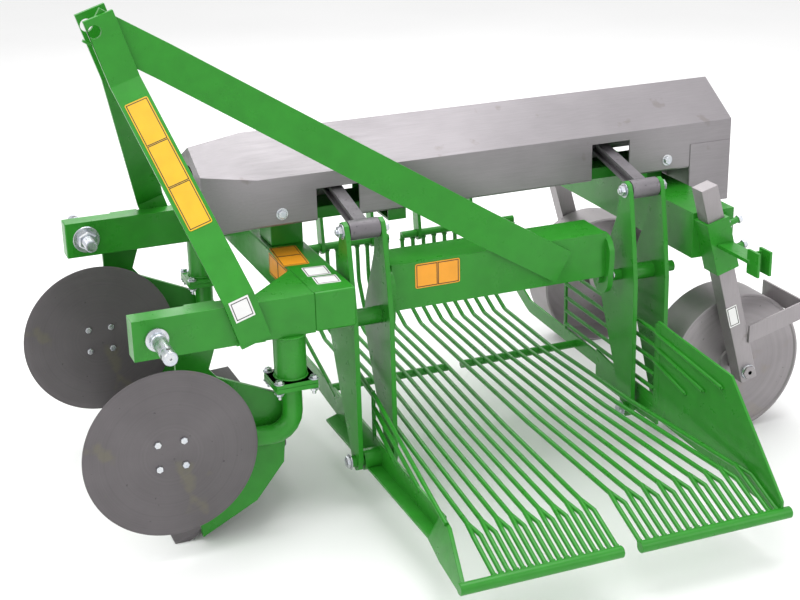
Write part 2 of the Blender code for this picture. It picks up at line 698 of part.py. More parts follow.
def wheels(steel):
    for y, face, word in ((LEG_LEFT, WHEEL_LEFT_FACE, "left"), (LEG_RIGHT, WHEEL_RIGHT_FACE, "right")):
        side = 1 if word == "left" else -1
        slant = Matrix.Translation((WHEEL_X, y, WHEEL_RADIUS)) @ Matrix.Rotation(LEG_TILT, 4, "Y")
        half = LEG_SIDE / 2
        tube = placed(box(-half, half, -half, half, -LEG_BELOW_AXLE, LEG_ABOVE_AXLE), slant)
        inner = y - side * (LEG_SIDE / 2 + LEG_GAP + WHEEL_WIDTH / 2)
        centre = (WHEEL_X, WHEEL_RADIUS)
        axle = cylinder("Y", centre, AXLE_RADIUS, y + side * (half + 0.008), inner - side * 0.030)
        nut = bolt("Y", centre, y + side * (half - 0.002), y + side * (half + 0.010), 0.016)
        named("wheel_leg_" + word, join(tube, axle, nut), steel)
        low, high = sorted((face, face - WHEEL_WIDTH))
        middle = (low + high) / 2
        drum = cylinder("Y", centre, WHEEL_RADIUS, low, high, 40)
        outside = middle + side * WHEEL_WIDTH / 2
        inside = middle - side * WHEEL_WIDTH / 2
        dish = cylinder("Y", centre, WHEEL_RADIUS - 0.022, outside + side * 0.01, outside - side * 0.006, 40)
        bore = WHEEL_RADIUS - RIM_THICKNESS
        hollow = cylinder("Y", centre, bore, inside - side * 0.01, outside - side * 0.014, 40)
        hub = cylinder("Y", centre, 0.030, inside + side * 0.016, outside - side * 0.004, 20)
        body = join(cut(drum, dish, hollow), hub)
        body = cut(body, cylinder("Y", centre, AXLE_RADIUS + RUN, low - 0.02, high + 0.02, 20))
        named("wheel_" + word, body, steel, (WHEEL_X, middle, WHEEL_RADIUS))
        angle = sheet_scraper(y, side, face)
        named("scraper_" + word, angle, steel)


def sheet_scraper(y, side, face):
    """An angle that stands just clear of the rim and is bolted to the wheel leg's outside."""
    outer = y + side * (LEG_SIDE / 2 + FIT)
    front, back = WHEEL_X + 0.005, WHEEL_X - 0.135
    low, high = 0.268, 0.308
    arm = prism(
        "Y",
        ((front, low - 0.036), (front, low + 0.004), (back, high), (back, low)),
        outer,
        outer + side * 0.005,
    )
    blade = prism(
        "Y",
        ((back + 0.005, low), (back, low), (back, high), (back + 0.005, high)),
        outer + side * 0.004,
        face - side * WHEEL_WIDTH,
    )
    return join(arm, blade)


def disc_arms(green, steel):
    for side, word in ((1, "left"), (-1, "right")):
        y = side * (ARM_OUTSIDE - ARM_WIDTH / 2)
        disc_y = y + DISC_OFFSET
        post = cylinder("Z", (POST_X, y), POST_RADIUS, FLANGE_Z + FIT, ARM_TOP - ARM_HEIGHT - FIT)
        square = (POST_X - FLANGE_HALF, POST_X + FLANGE_HALF, y - FLANGE_HALF, y + FLANGE_HALF)
        plate = box(*square, FLANGE_Z + FIT, FLANGE_Z + FLANGE_PLATE)
        top = FLANGE_Z + FLANGE_PLATE
        corners = [(POST_X + a * 0.035, y + b * 0.035) for a in (1, -1) for b in (1, -1)]
        nuts = [bolt("Z", corner, top - 0.001, top + 0.007, 0.0065) for corner in corners]
        named("disc_post_" + word, join(post, plate, *nuts), green)
        lower = box(*square, FLANGE_Z - FLANGE_PLATE, FLANGE_Z)
        turn = 0.045
        path = [(POST_X, y, FLANGE_Z - 0.004)]
        for i in range(6):
            t = math.pi / 2 * i / 5
            path.append((POST_X + turn * (1 - math.cos(t)), y, ELBOW_Z + turn * (1 - math.sin(t))))
        path.append((DISC_X - 0.060, y, ELBOW_Z + 0.004))
        path.append((DISC_X + 0.010, y, DISC_Z))
        guide = ring_points((0, 0), PIPE_RADIUS, 14)
        pipe = pipe_along(path, guide)
        hub = cylinder("Y", (DISC_X, DISC_Z), HUB_RADIUS, y - 0.018, disc_y - DISC_THICKNESS / 2 - SIDE_RUN)
        stub = cylinder("Y", (DISC_X, DISC_Z), DISC_PIN_RADIUS, disc_y - 0.020, disc_y + 0.0003, 16)
        named("disc_arm_" + word, join(lower, pipe, hub, stub), green)
        disc(word, disc_y, steel)


def pipe_along(path, section):
    """A round pipe that bends in the XZ plane."""
    points = [Vector(point) for point in path]
    steps = [(b - a).normalized() for a, b in zip(points, points[1:])]
    tangents = [steps[0]] + [(a + b).normalized() for a, b in zip(steps, steps[1:])] + [steps[-1]]
    across = Vector((0, 1, 0))
    rings = [[p + across * a + t.cross(across) * b for a, b in section] for p, t in zip(points, tangents)]
    return loft(rings)


def disc(word, y, steel):
    """A flat coulter disc with a bevelled edge, its hub plate and four bolts."""
    half, flat = DISC_THICKNESS / 2, DISC_RADIUS - 0.016
    profile = ((flat, -half), (DISC_RADIUS, -0.001), (DISC_RADIUS, 0.001), (flat, half))
    rings = []
    for radius, offset in profile:
        rings.append([Vector((DISC_X + a, y + offset, DISC_Z + b)) for a, b in ring_points((0, 0), radius, 40)])
    plate = loft(rings)
    bolts = [
        bolt("Y", centre, y + half - 0.001, y + half + 0.006, 0.007)
        for centre in ring_points((DISC_X, DISC_Z), DISC_BOLT_CIRCLE, 4, math.pi / 4)
    ]
    body = join(plate, *bolts)
    hole = cylinder("Y", (DISC_X, DISC_Z), DISC_PIN_RADIUS + RUN, y - 0.020, y + 0.001, 16)
    named("disc_" + word, cut(body, hole), steel, (DISC_X, y, DISC_Z))


def blade_under(x):
    """Height of the share's underside: flat on the floor at its tip, then rising to the rear."""
    flat_end = SHARE_TIP_X - SHARE_TIP_RUN
    return SHARE_REAR_Z * max(0.0, flat_end - x) / (flat_end - SHARE_REAR_X)


def share(green, steel):
    """The share and the two plates that carry it; the right one is outside its arm, clear of the disc."""
    inside = ARM_OUTSIDE - ARM_WIDTH - FIT
    left = (inside - SHARE_LEG_THICKNESS, inside)
    right = (-ARM_OUTSIDE - FIT - SHARE_LEG_THICKNESS, -ARM_OUTSIDE - FIT)
    toe_x, heel_x = SHARE_TIP_X - 0.055, SHARE_SHOULDER_X
    outline = (
        (-0.112, 0.500), (-0.172, 0.500), (-0.172, 0.430), (-0.150, 0.365), (-0.165, 0.345), (-0.285, 0.290),
        (-0.300, 0.250), (-0.290, 0.140), (heel_x, blade_under(heel_x) - 0.004),
        (toe_x, blade_under(toe_x) - 0.004), (-0.085, 0.300), (-0.085, 0.430),
    )
    for (low, high), word in ((left, "left"), (right, "right")):
        named("share_leg_" + word, prism("Y", outline, low, high), green)
    wide = (right[1] + FIT, left[0] - FIT)
    narrow = (wide[0] + SHARE_TAPER, wide[1] - SHARE_TAPER)
    edges = {SHARE_TIP_X: wide, SHARE_TIP_X - SHARE_TIP_RUN: wide, SHARE_SHOULDER_X: wide, SHARE_REAR_X: narrow}
    rings = []
    for x, (low, high) in edges.items():
        under = blade_under(x)
        top = under + (SHARE_EDGE if x == SHARE_TIP_X else SHARE_THICKNESS)
        rings.append([Vector(p) for p in ((x, low, under), (x, high, under), (x, high, top), (x, low, top))])
    named("share_blade", loft(rings), steel)


def cover(sheet):
    """A ridged sheet cover, open underneath, with a faceted nose and windows for the connecting rods."""

    def rings(inset, bottom, nose_bottom, front, rear):
        half, nose = COVER_HALF - inset, NOSE_HALF - inset
        fold, ridge = COVER_FOLD_Z - inset * 0.8, COVER_RIDGE_Z - inset * 1.2

        def outline(x, h, b, f, r, lip):
            side = [(-h + lip, b), (-h, b + lip), (-h, f), (0, r), (h, f), (h, b + lip), (h - lip, b)]
            return [Vector((x, y, z)) for y, z in side]

        return [
            outline(rear, half, bottom, fold, ridge, 0.004),
            outline(COVER_FRONT, half, bottom, fold, ridge, 0.004),
            outline(front, nose, nose_bottom, fold + 0.012, ridge - 0.018, 0.030),
        ]

    front = COVER_FRONT + NOSE_LENGTH
    outer = loft(rings(0, COVER_BOTTOM_Z, COVER_BOTTOM_Z - NOSE_DROP, front, COVER_REAR))
    rear_box = box(COVER_REAR, -1.3185, -COVER_HALF, COVER_HALF, COVER_REAR_BOTTOM_Z, COVER_BOTTOM_Z + 0.020)
    bottom, nose_bottom = COVER_BOTTOM_Z - 0.020, COVER_BOTTOM_Z - NOSE_DROP + COVER_SHEET
    inner = loft(rings(COVER_SHEET, bottom, nose_bottom, front - COVER_SHEET, COVER_REAR + COVER_SHEET))
    body = join(outer, rear_box)
    cuts = [
        inner,
        box(-1.400, -1.30, -COVER_HALF + COVER_SHEET, COVER_HALF - COVER_SHEET, 0.3, 0.55),
        box(ROCKER_X[0] - 0.046, ROCKER_X[0] + 0.046, 0.05, 0.2, 0.5, 0.636),
        box(ROCKER_X[1] - 0.046, ROCKER_X[1] + 0.046, 0.05, 0.2, 0.5, 0.650),
        cylinder("X", (0, SHAFT_Z), 0.045, front - 0.06, front + 0.05, 24),
    ]
    body = cut(body, *cuts)
    named("drive_cover", body, sheet)


def cover_feet(green):
    """Straps from the spine to the cover's sides carry the cover."""
    reach = COVER_HALF - COVER_SHEET - FIT
    for x, word in ((-0.620, "front"), (-1.195, "rear")):
        low, high = x - 0.020, x + 0.020
        strap = box(low, high, -reach, reach, SPINE_BOTTOM - 0.0063, SPINE_BOTTOM - FIT)
        left = box(low, high, reach - 0.006, reach, SPINE_BOTTOM - 0.006, 0.625)
        right = box(low, high, -reach, -reach + 0.006, SPINE_BOTTOM - 0.006, 0.625)
        named("cover_strap_" + word, join(strap, left, right), green)


def hook_bar(green):
    """The bar behind the left sleeve that ends in a small double bracket."""
    z = 0.470
    start = LEG_LEFT + LEG_SIDE / 2 + SLEEVE_WALL + LEG_FIT + FIT
    x = -1.262
    bar = box(x - 0.020, x + 0.020, start, start + 0.115, z - 0.004, z + 0.004)
    plates = [
        box(low, low + 0.006, start + 0.105, start + 0.145, z - 0.026, z + 0.026)
        for low in (x - 0.017, x + 0.011)
    ]
    web = box(x - 0.014, x + 0.014, start + 0.110, start + 0.116, z - 0.020, z + 0.020)
    named("rear_bracket", join(bar, *plates, web), green)


def centre_on_box():
    """Moves every piece so that the origin is on the floor under the middle of the whole machine."""
    bpy.context.view_layer.update()
    points = [thing.matrix_world @ vertex.co for thing in bpy.data.objects for vertex in thing.data.vertices]
    middle = [(min(p[i] for p in points) + max(p[i] for p in points)) / 2 for i in (0, 1)]
    for thing in bpy.data.objects:
        thing.location -= Vector((*middle, min(p.z for p in points)))


def main():
    for thing in list(bpy.data.objects):
        bpy.data.objects.remove(thing, do_unlink=True)
    green = material("green_paint", GREEN, 0.0, 0.35)
    steel = material("bare_steel", STEEL, 0.9, 0.45)
    sheet = material("grey_sheet", SHEET, 0.6, 0.4)
    zinc = material("zinc_plate", ZINC, 1.0, 0.35)
    hitch(green, zinc)
    mast(green)
    brace(green)
    main_beam(green)
    rockers(green)
    rods_and_shaft(steel)
    bearings(steel)
    spine(green)
    hangers(green)
    sieve("front", green)
    sieve("rear", green)
    rear_beam(green)
    wheels(steel)
    disc_arms(green, steel)
    share(green, steel)
    cover(sheet)
    cover_feet(green)
    hook_bar(green)
    centre_on_box()


main()
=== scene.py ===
"""The finished look of a single-row potato harvester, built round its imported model.

Metres. +X is forward, +Y is left, the side that the sieves empty to, and the floor is Z = 0.
"""

import json
import math
import random

import bmesh
import bpy
from mathutils import Matrix, Vector

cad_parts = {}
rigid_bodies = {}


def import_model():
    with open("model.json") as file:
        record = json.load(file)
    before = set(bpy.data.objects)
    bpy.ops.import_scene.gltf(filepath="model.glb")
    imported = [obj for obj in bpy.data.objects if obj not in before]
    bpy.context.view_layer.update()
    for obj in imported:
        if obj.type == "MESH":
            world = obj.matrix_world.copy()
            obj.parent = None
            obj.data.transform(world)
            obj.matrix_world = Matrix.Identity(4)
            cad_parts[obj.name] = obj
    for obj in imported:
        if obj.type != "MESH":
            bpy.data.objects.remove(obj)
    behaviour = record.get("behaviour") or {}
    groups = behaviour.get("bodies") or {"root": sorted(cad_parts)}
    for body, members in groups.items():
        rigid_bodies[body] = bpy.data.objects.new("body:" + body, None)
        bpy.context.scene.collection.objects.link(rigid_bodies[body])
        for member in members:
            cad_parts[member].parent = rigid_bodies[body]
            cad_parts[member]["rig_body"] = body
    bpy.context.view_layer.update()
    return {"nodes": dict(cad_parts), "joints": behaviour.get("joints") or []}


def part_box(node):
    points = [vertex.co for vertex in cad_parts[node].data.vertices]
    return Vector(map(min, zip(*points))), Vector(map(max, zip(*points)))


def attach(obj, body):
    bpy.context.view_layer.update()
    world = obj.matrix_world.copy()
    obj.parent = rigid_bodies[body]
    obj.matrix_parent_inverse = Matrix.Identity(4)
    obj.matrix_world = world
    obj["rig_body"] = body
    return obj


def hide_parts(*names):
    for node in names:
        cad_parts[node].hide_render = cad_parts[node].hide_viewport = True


bl_info = {
    "name": "Potato Harvester",
    "version": (1, 0, 0),
    "blender": (4, 5, 0),
    "location": "3D View > Sidebar > Harvester",
    "description": "Builds the finished look of a tractor-mounted potato harvester round its packed model",
    "category": "Add Mesh",
}

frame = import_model()
JOINTS = {joint["name"]: joint for joint in frame["joints"]}
BODY_OF = {name: node["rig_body"] for name, node in frame["nodes"].items()}

# The point on the floor midway between the front ends of the hitch arms
HITCH = Vector((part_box("hitch_arm_left")[1].x, Vector(JOINTS["drive_shaft_spin"]["pos_m"]).y, 0.0))
SAME_POINT = 1e-5
FLAT_ANGLE = math.radians(0.6)
CORNER_ANGLE = math.radians(38)
STICKER_LIFT = 0.0006


def joint_place(name):
    return Vector(JOINTS[name]["pos_m"])


def from_hitch(x, y, z):
    return HITCH + Vector((x, y, z))


def middle(node):
    low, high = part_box(node)
    return (low + high) / 2


# Settings


def colour(name, description, default):
    return bpy.props.FloatVectorProperty(
        name=name, description=description, default=default, subtype="COLOR", size=3, min=0.0, max=1.0
    )


def length(name, description, default):
    return bpy.props.FloatProperty(
        name=name, description=description, default=default, unit="LENGTH", subtype="DISTANCE",
        min=0.0, precision=4,
    )


class HarvesterColours(bpy.types.PropertyGroup):
    paint: colour("Paint", "Gloss green of the frame and the sieves", (0.022, 0.235, 0.016))
    sheet: colour("Cover sheet", "Plain steel sheet of the drive cover", (0.290, 0.272, 0.286))
    disc: colour("Disc steel", "Dull steel of the coulter discs", (0.140, 0.129, 0.135))
    wheel: colour("Wheel steel", "Paler steel of the depth wheels and their legs", (0.320, 0.297, 0.308))
    forged: colour("Forged steel", "Dark steel of the connecting rods and the shaft", (0.150, 0.140, 0.152))
    zinc: colour("Zinc", "Plating of the bolts, nuts and pins", (0.620, 0.635, 0.650))
    yellow: colour("Yellow label", "The long label on the mast", (0.720, 0.420, 0.010))
    orange: colour("Orange label", "The labels on the beams", (0.900, 0.360, 0.020))
    white: colour("White label", "The plates and small labels", (0.830, 0.820, 0.820))
    # The ink also paints the shade inside the hitch pins' clip holes.
    ink: colour("Label ink and painted shade", "Frames printed on the labels", (0.015, 0.014, 0.014))


class HarvesterSizes(bpy.types.PropertyGroup):
    tube_corner: length("Tube corner", "Rounding of the box tubes' edges", 0.0045)
    plate_edge: length("Plate edge", "Rounding of the cut plates' edges", 0.0012)
    sheet_fold: length("Sheet fold", "Rounding of the cover's folds", 0.0016)
    rod: length("Sieve rod", "Radius of a sieve rod", 0.0050)
    tine: length("Tine", "Radius of a tine at the sieve's open edge", 0.0046)
    guard: length("Guard rod", "Radius of the rods above the sieves' sides", 0.0045)
    bend: length("Rod bend", "Radius of the bends in the sieve rods", 0.0450)
    weld: length("Weld", "Radius of a weld bead", 0.0030)
    bolt: length("Bolt", "Radius of the larger bolt heads, over their corners", 0.0120)


class HarvesterStage(bpy.types.PropertyGroup):
    floor: colour("Floor", "The pale floor", (0.900, 0.900, 0.900))
    surround: bpy.props.FloatProperty(
        name="Surround", description="Strength of the even light from all sides", default=0.95, min=0.0
    )
    key: bpy.props.FloatProperty(
        name="Key light", description="Power of the largest lamp, in watts", default=90.0, min=0.0
    )
    lens: bpy.props.FloatProperty(
        name="Lens", description="Focal length of the camera, in millimetres", default=70.93, min=1.0
    )


SETTING_GROUPS = {
    "harvester_colours": HarvesterColours,
    "harvester_sizes": HarvesterSizes,
    "harvester_stage": HarvesterStage,
}


# Shapes


def square_axes(axis):
    """The axis and two directions square to it and to each other, all of unit length."""
    axis = Vector(axis).normalized()
    side = axis.orthogonal().normalized()
    return axis, side, axis.cross(side)


def circle(centre, side, other, radius, count, turn=0.0):
    """Points round the centre, in the plane of the directions side and other."""
    angles = [turn + 2 * math.pi * i / count for i in range(count)]
    return [centre + (side * math.cos(angle) + other * math.sin(angle)) * radius for angle in angles]


def path_directions(points):
    """The direction of the path at each of its points."""
    steps = [(b - a).normalized() for a, b in zip(points, points[1:])]
    return [steps[0]] + [(a + b).normalized() for a, b in zip(steps, steps[1:])] + [steps[-1]]


class Shape:
    """Closed shells that become one piece."""

    def __init__(self):
        self.bm = bmesh.new()

    def loft(self, rings, slot=0, joined=False):
        """Skins the rings in turn, then closes both ends, or joins the last ring to the first."""
        rows = [[self.bm.verts.new(point) for point in ring] for ring in rings]
        following = rows[1:] + rows[:1] if joined else rows[1:]
        faces = []
        for low, high in zip(rows, following):
            for i in range(len(low)):
                j = (i + 1) % len(low)
                faces.append(self.bm.faces.new((low[i], low[j], high[j], high[i])))
        if not joined:
            faces.append(self.bm.faces.new(rows[0]))
            faces.append(self.bm.faces.new(rows[-1]))
        bmesh.ops.recalc_face_normals(self.bm, faces=faces)
        for face in faces:
            face.material_index = slot
        return faces

    def prism(self, axis, outline, start, end, slot=0):
        rings = [[on_axis(axis, value, *point) for point in outline] for value in (start, end)]
        return self.loft(rings, slot)

    def block(self, low, high, slot=0):
        (x0, y0, z0), (x1, y1, z1) = low, high
        return self.prism("Z", ((x0, y0), (x1, y0), (x1, y1), (x0, y1)), z0, z1, slot)

    def lathe(self, centre, axis, profile, sides=32, slot=0, turn=0.0, joined=False):
        """A solid of (radius, height) points turned about the axis through the centre.

        Its two ends are flat, or it is a ring when the profile's last point is joined to the first.
        """
        axis, side, other = square_axes(axis)
        rings = []
        for radius, height in profile:
            rings.append(circle(Vector(centre) + axis * height, side, other, radius, sides, turn))
        return self.loft(rings, slot, joined)

    def tube(self, points, radius, sides=12, slot=0, radii=None):
        """A round bar along the points, with flat ends; radii gives each point a radius of its own."""
        points = [Vector(point) for point in points]
        directions = path_directions(points)
        across = directions[0].orthogonal().normalized()
        rings = []
        for i, (point, direction) in enumerate(zip(points, directions)):
            across = (across - direction * across.dot(direction)).normalized()
            rings.append(circle(point, across, direction.cross(across), radii[i] if radii else radius, sides))
        return self.loft(rings, slot)

    def bar(self, points, half_thick, half_high, slot=0):
        """A flat bar that stands on edge along points in the YZ plane."""
        points = [Vector(point) for point in points]
        thick = Vector((half_thick, 0, 0))
        rings = []
        for point, direction in zip(points, path_directions(points)):
            high = Vector((0, -direction.z, direction.y)).normalized() * half_high
            ring = [point + thick * a + high * b for a, b in ((-1, -1), (1, -1), (1, 1), (-1, 1))]
            rings.append(ring)
        return self.loft(rings, slot)

    def weld(self, points, radius, rng, slot=0):
        """A rippled bead along the points."""
        dense = resample(points, radius * 0.55)
        ripple = [0.86 + 0.14 * math.cos(i * math.pi * 0.62) for i in range(len(dense))]
        radii = [radius * (height + rng.uniform(-0.06, 0.06)) for height in ripple]
        radii[0] = radii[-1] = radius * 0.4
        self.tube(dense, radius, 8, slot, radii)

    def hex_bolt(self, foot, axis, radius, head, washer=True, stub=0.0, slot=0, turn=0.3):
        """A hexagon head on a washer, with the bolt's end showing when it has a stub."""
        foot, axis = Vector(foot), Vector(axis).normalized()
        base = 0.0
        if washer:
            base = radius * 0.16
            disc = ((radius * 1.32, 0), (radius * 1.36, base * 0.5), (radius * 1.30, base))
            self.lathe(foot, axis, disc, 24, slot)
        top = base + head
        hexagon = (
            (radius * 0.98, base), (radius, base + head * 0.1),
            (radius, base + head * 0.78), (radius * 0.84, top),
        )
        self.lathe(foot, axis, hexagon, 6, slot, turn)
        if stub:
            end = ((radius * 0.5, top * 0.5), (radius * 0.5, top + stub * 0.8), (radius * 0.38, top + stub))
            self.lathe(foot, axis, end, 16, slot)

    def thread(self, foot, axis, radius, reach, pitch, slot=0):
        """A threaded end, as rings of crest and root."""
        profile, height = [(radius, 0.0)], 0.0
        while height + pitch < reach:
            for across, up in ((1.0, 0.2), (0.86, 0.6), (1.0, 1.0)):
                profile.append((radius * across, height + pitch * up))
            height += pitch
        profile.append((radius * 0.7, reach))
        self.lathe(foot, axis, profile, 14, slot)

    def piece(
        self, name, surfaces, body, edge=0.0, segments=2, replaces=(), origin=None, smooth_under=CORNER_ANGLE
    ):
        """Ends the shape: one object with rounded edges, on its body."""
        mesh = bpy.data.meshes.new(name)
        self.bm.to_mesh(mesh)
        self.bm.free()
        return dress(name, mesh, surfaces, body, edge, segments, replaces, origin, smooth_under)


def dress(
    name, mesh, surfaces, body, edge, segments, replaces, origin=None, smooth_under=CORNER_ANGLE
):
    """An object from a mesh, with rounded edges and even shading, on its body and in its finish."""
    for surface in surfaces if isinstance(surfaces, (list, tuple)) else [surfaces]:
        mesh.materials.append(surface)
    if origin is not None:
        mesh.transform(Matrix.Translation(-Vector(origin)))
    piece = bpy.data.objects.new(name, mesh)
    bpy.context.scene.collection.objects.link(piece)
    if origin is not None:
        piece.location = origin
    if edge:
        bevel = piece.modifiers.new("Rounding", "BEVEL")
        bevel.width = edge
        bevel.segments = segments
        bevel.limit_method = "ANGLE"
        bevel.angle_limit = CORNER_ANGLE
        settle(piece)
    mark_corners(piece.data, smooth_under)
    weighted = piece.modifiers.new("Shading", "WEIGHTED_NORMAL")
    weighted.keep_sharp = True
    settle(piece)
    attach(piece, body)
    if replaces:
        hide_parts(*replaces)
    return piece


def settle(piece):
    """Applies the piece's modifiers."""
    bpy.context.view_layer.update()
    graph = bpy.context.evaluated_depsgraph_get()
    finished = bpy.data.meshes.new_from_object(piece.evaluated_get(graph), depsgraph=graph)
    old = piece.data
    piece.modifiers.clear()
    piece.data = finished
    bpy.data.meshes.remove(old)


def mark_corners(mesh, smooth_under):
    bm = bmesh.new()
    bm.from_mesh(mesh)
    for edge in bm.edges:
        edge.smooth = not (len(edge.link_faces) == 2 and edge.calc_face_angle(0.0) > smooth_under)
    for face in bm.faces:
        face.smooth = True
    bm.to_mesh(mesh)
    bm.free()


def rounded_copy(node, surface, edge, segments=2):
    """A CAD node with its edges rounded, in its own finish; it stands for that node."""
    bm = bmesh.new()
    bm.from_mesh(frame["nodes"][node].data)
    bmesh.ops.remove_doubles(bm, verts=bm.verts, dist=SAME_POINT)
    bmesh.ops.dissolve_limit(bm, angle_limit=FLAT_ANGLE, verts=bm.verts, edges=bm.edges)
    mesh = bpy.data.meshes.new(node)
    bm.to_mesh(mesh)
    bm.free()
    return dress(node + "_finished", mesh, surface, BODY_OF[node], edge, segments, (node,))


def on_axis(axis, value, a, b):
    """A point whose coordinate on the axis is value; a and b are the other two, in the order X, Y, Z."""
    point = [a, b]
    point.insert("XYZ".index(axis), value)
    return Vector(point)


def resample(points, step):
    points = [Vector(point) for point in points]
    out = [points[0]]
    for a, b in zip(points, points[1:]):
        count = max(1, round((b - a).length / step))
        out += [a.lerp(b, i / count) for i in range(1, count + 1)]
    return out


def bent(points, radius, steps=5):
    """The same path with each inner corner turned into a bend."""
    points = [Vector(point) for point in points]
    out = [points[0]]
    for before, corner, after in zip(points, points[1:], points[2:]):
        arm_in, arm_out = before - corner, after - corner
        angle = arm_in.angle(arm_out)
        reach = min(radius / math.tan(angle / 2), arm_in.length * 0.48, arm_out.length * 0.48)
        start, end = corner + arm_in.normalized() * reach, corner + arm_out.normalized() * reach
        for i in range(steps + 1):
            t = i / steps
            out.append(start * (1 - t) ** 2 + corner * 2 * t * (1 - t) + end * t**2)
    out.append(points[-1])
    return out


# Finishes


def add_node(tree, kind, **values):
    made = tree.nodes.new(kind)
    for key, value in values.items():
        setattr(made, key, value)
    return made


def new_group(name, inputs, outputs):
    """A shader node group with its sockets, and its input and output nodes."""
    group = bpy.data.node_groups.new(name, "ShaderNodeTree")
    kinds = {"colour": "NodeSocketColor", "value": "NodeSocketFloat", "vector": "NodeSocketVector"}
    for socket, kind in inputs:
        group.interface.new_socket(socket, in_out="INPUT", socket_type=kinds[kind])
    for socket, kind in outputs:
        group.interface.new_socket(socket, in_out="OUTPUT", socket_type=kinds[kind])
    return group, add_node(group, "NodeGroupInput"), add_node(group, "NodeGroupOutput")


def object_noise(group, stretch=None, scale=None, detail=4.0, roughness=0.5):
    """Noise in the piece's own coordinates."""
    place = add_node(group, "ShaderNodeTexCoord")
    noise = add_node(group, "ShaderNodeTexNoise")
    noise.inputs["Detail"].default_value = detail
    noise.inputs["Roughness"].default_value = roughness
    if stretch is None:
        group.links.new(place.outputs["Object"], noise.inputs["Vector"])
    else:
        times = add_node(group, "ShaderNodeVectorMath", operation="MULTIPLY")
        group.links.new(place.outputs["Object"], times.inputs[0])
        group.links.new(stretch, times.inputs[1])
        group.links.new(times.outputs["Vector"], noise.inputs["Vector"])
    if scale is not None:
        group.links.new(scale, noise.inputs["Scale"])
    return noise


def spread(group, value, low, high):
    """Maps the range from low to high onto 0 to 1."""
    made = add_node(group, "ShaderNodeMapRange")
    made.inputs["From Min"].default_value = low
    made.inputs["From Max"].default_value = high
    group.links.new(value, made.inputs["Value"])
    return made.outputs["Result"]


def mottle_group():
    """Cloudy change from one colour towards another."""
    group, taken, given = new_group(
        "Mottle",
        (("Colour", "colour"), ("Tint", "colour"), ("Scale", "value"), ("Amount", "value")),
        (("Colour", "colour"), ("Mask", "value")),
    )
    noise = object_noise(group, scale=taken.outputs["Scale"])
    mask = spread(group, noise.outputs["Fac"], 0.36, 0.66)
    weight = add_node(group, "ShaderNodeMath", operation="MULTIPLY")
    group.links.new(mask, weight.inputs[0])
    group.links.new(taken.outputs["Amount"], weight.inputs[1])
    mix = add_node(group, "ShaderNodeMix", data_type="RGBA")
    group.links.new(weight.outputs[0], mix.inputs["Factor"])
    group.links.new(taken.outputs["Colour"], mix.inputs[6])
    group.links.new(taken.outputs["Tint"], mix.inputs[7])
    group.links.new(mix.outputs[2], given.inputs["Colour"])
    group.links.new(weight.outputs[0], given.inputs["Mask"])
    return group


def give_noise(group, noise, taken, given):
    """Gives the noise as Height, and mapped onto the range from Low to High as Value."""
    ranged = add_node(group, "ShaderNodeMapRange")
    group.links.new(noise.outputs["Fac"], ranged.inputs["Value"])
    ranged.inputs["From Min"].default_value = 0.3
    ranged.inputs["From Max"].default_value = 0.7
    group.links.new(taken.outputs["Low"], ranged.inputs["To Min"])
    group.links.new(taken.outputs["High"], ranged.inputs["To Max"])
    group.links.new(ranged.outputs["Result"], given.inputs["Value"])
    group.links.new(noise.outputs["Fac"], given.inputs["Height"])


def grain_group():
    """Fine streaks, long in the directions where Stretch is small."""
    group, taken, given = new_group(
        "Grain",
        (("Scale", "value"), ("Stretch", "vector"), ("Low", "value"), ("High", "value")),
        (("Value", "value"), ("Height", "value")),
    )
    noise = object_noise(group, taken.outputs["Stretch"], taken.outputs["Scale"], detail=6.0, roughness=0.65)
    give_noise(group, noise, taken, given)
    return group


def turned_group():
    """Rings about the piece's own Y axis, as a lathe or a press leaves them."""
    group, taken, given = new_group(
        "Turned Marks",
        (("Rings", "value"), ("Low", "value"), ("High", "value")),
        (("Value", "value"), ("Height", "value")),
    )
    place = add_node(group, "ShaderNodeTexCoord")
    flat = add_node(group, "ShaderNodeVectorMath", operation="MULTIPLY")
    flat.inputs[1].default_value = (1, 0, 1)
    group.links.new(place.outputs["Object"], flat.inputs[0])
    radius = add_node(group, "ShaderNodeVectorMath", operation="LENGTH")
    group.links.new(flat.outputs["Vector"], radius.inputs[0])
    noise = add_node(group, "ShaderNodeTexNoise", noise_dimensions="1D")
    noise.inputs["Detail"].default_value = 5.0
    group.links.new(radius.outputs["Value"], noise.inputs["W"])
    group.links.new(taken.outputs["Rings"], noise.inputs["Scale"])
    give_noise(group, noise, taken, given)
    return group


def scuffs_group():
    """Scattered small marks: 1 in a mark and 0 elsewhere."""
    group, taken, given = new_group(
        "Scuffs", (("Scale", "value"), ("Sparse", "value"), ("Strength", "value")), (("Mask", "value"),)
    )
    noise = object_noise(group, scale=taken.outputs["Scale"], detail=3.0)
    above = add_node(group, "ShaderNodeMath", operation="SUBTRACT")
    group.links.new(noise.outputs["Fac"], above.inputs[0])
    group.links.new(taken.outputs["Sparse"], above.inputs[1])
    sharper = add_node(group, "ShaderNodeMath", operation="MULTIPLY", use_clamp=True)
    group.links.new(above.outputs[0], sharper.inputs[0])
    sharper.inputs[1].default_value = 14.0
    strength = add_node(group, "ShaderNodeMath", operation="MULTIPLY")
    group.links.new(sharper.outputs[0], strength.inputs[0])
    group.links.new(taken.outputs["Strength"], strength.inputs[1])
    group.links.new(strength.outputs[0], given.inputs["Mask"])
    return group


GROUP_BUILDERS = {
    "Mottle": mottle_group,
    "Grain": grain_group,
    "Turned Marks": turned_group,
    "Scuffs": scuffs_group,
}


def use_group(tree, name, **values):
    """Places a shared effect in a material with this material's own values."""
    made = add_node(tree, "ShaderNodeGroup")
    made.node_tree = bpy.data.node_groups.get(name) or GROUP_BUILDERS[name]()
    for key, value in values.items():
        made.inputs[key.replace("_", " ")].default_value = value
    return made


def rgba(value, times=1.0):
    return (*(min(1.0, channel * times) for channel in value), 1.0)


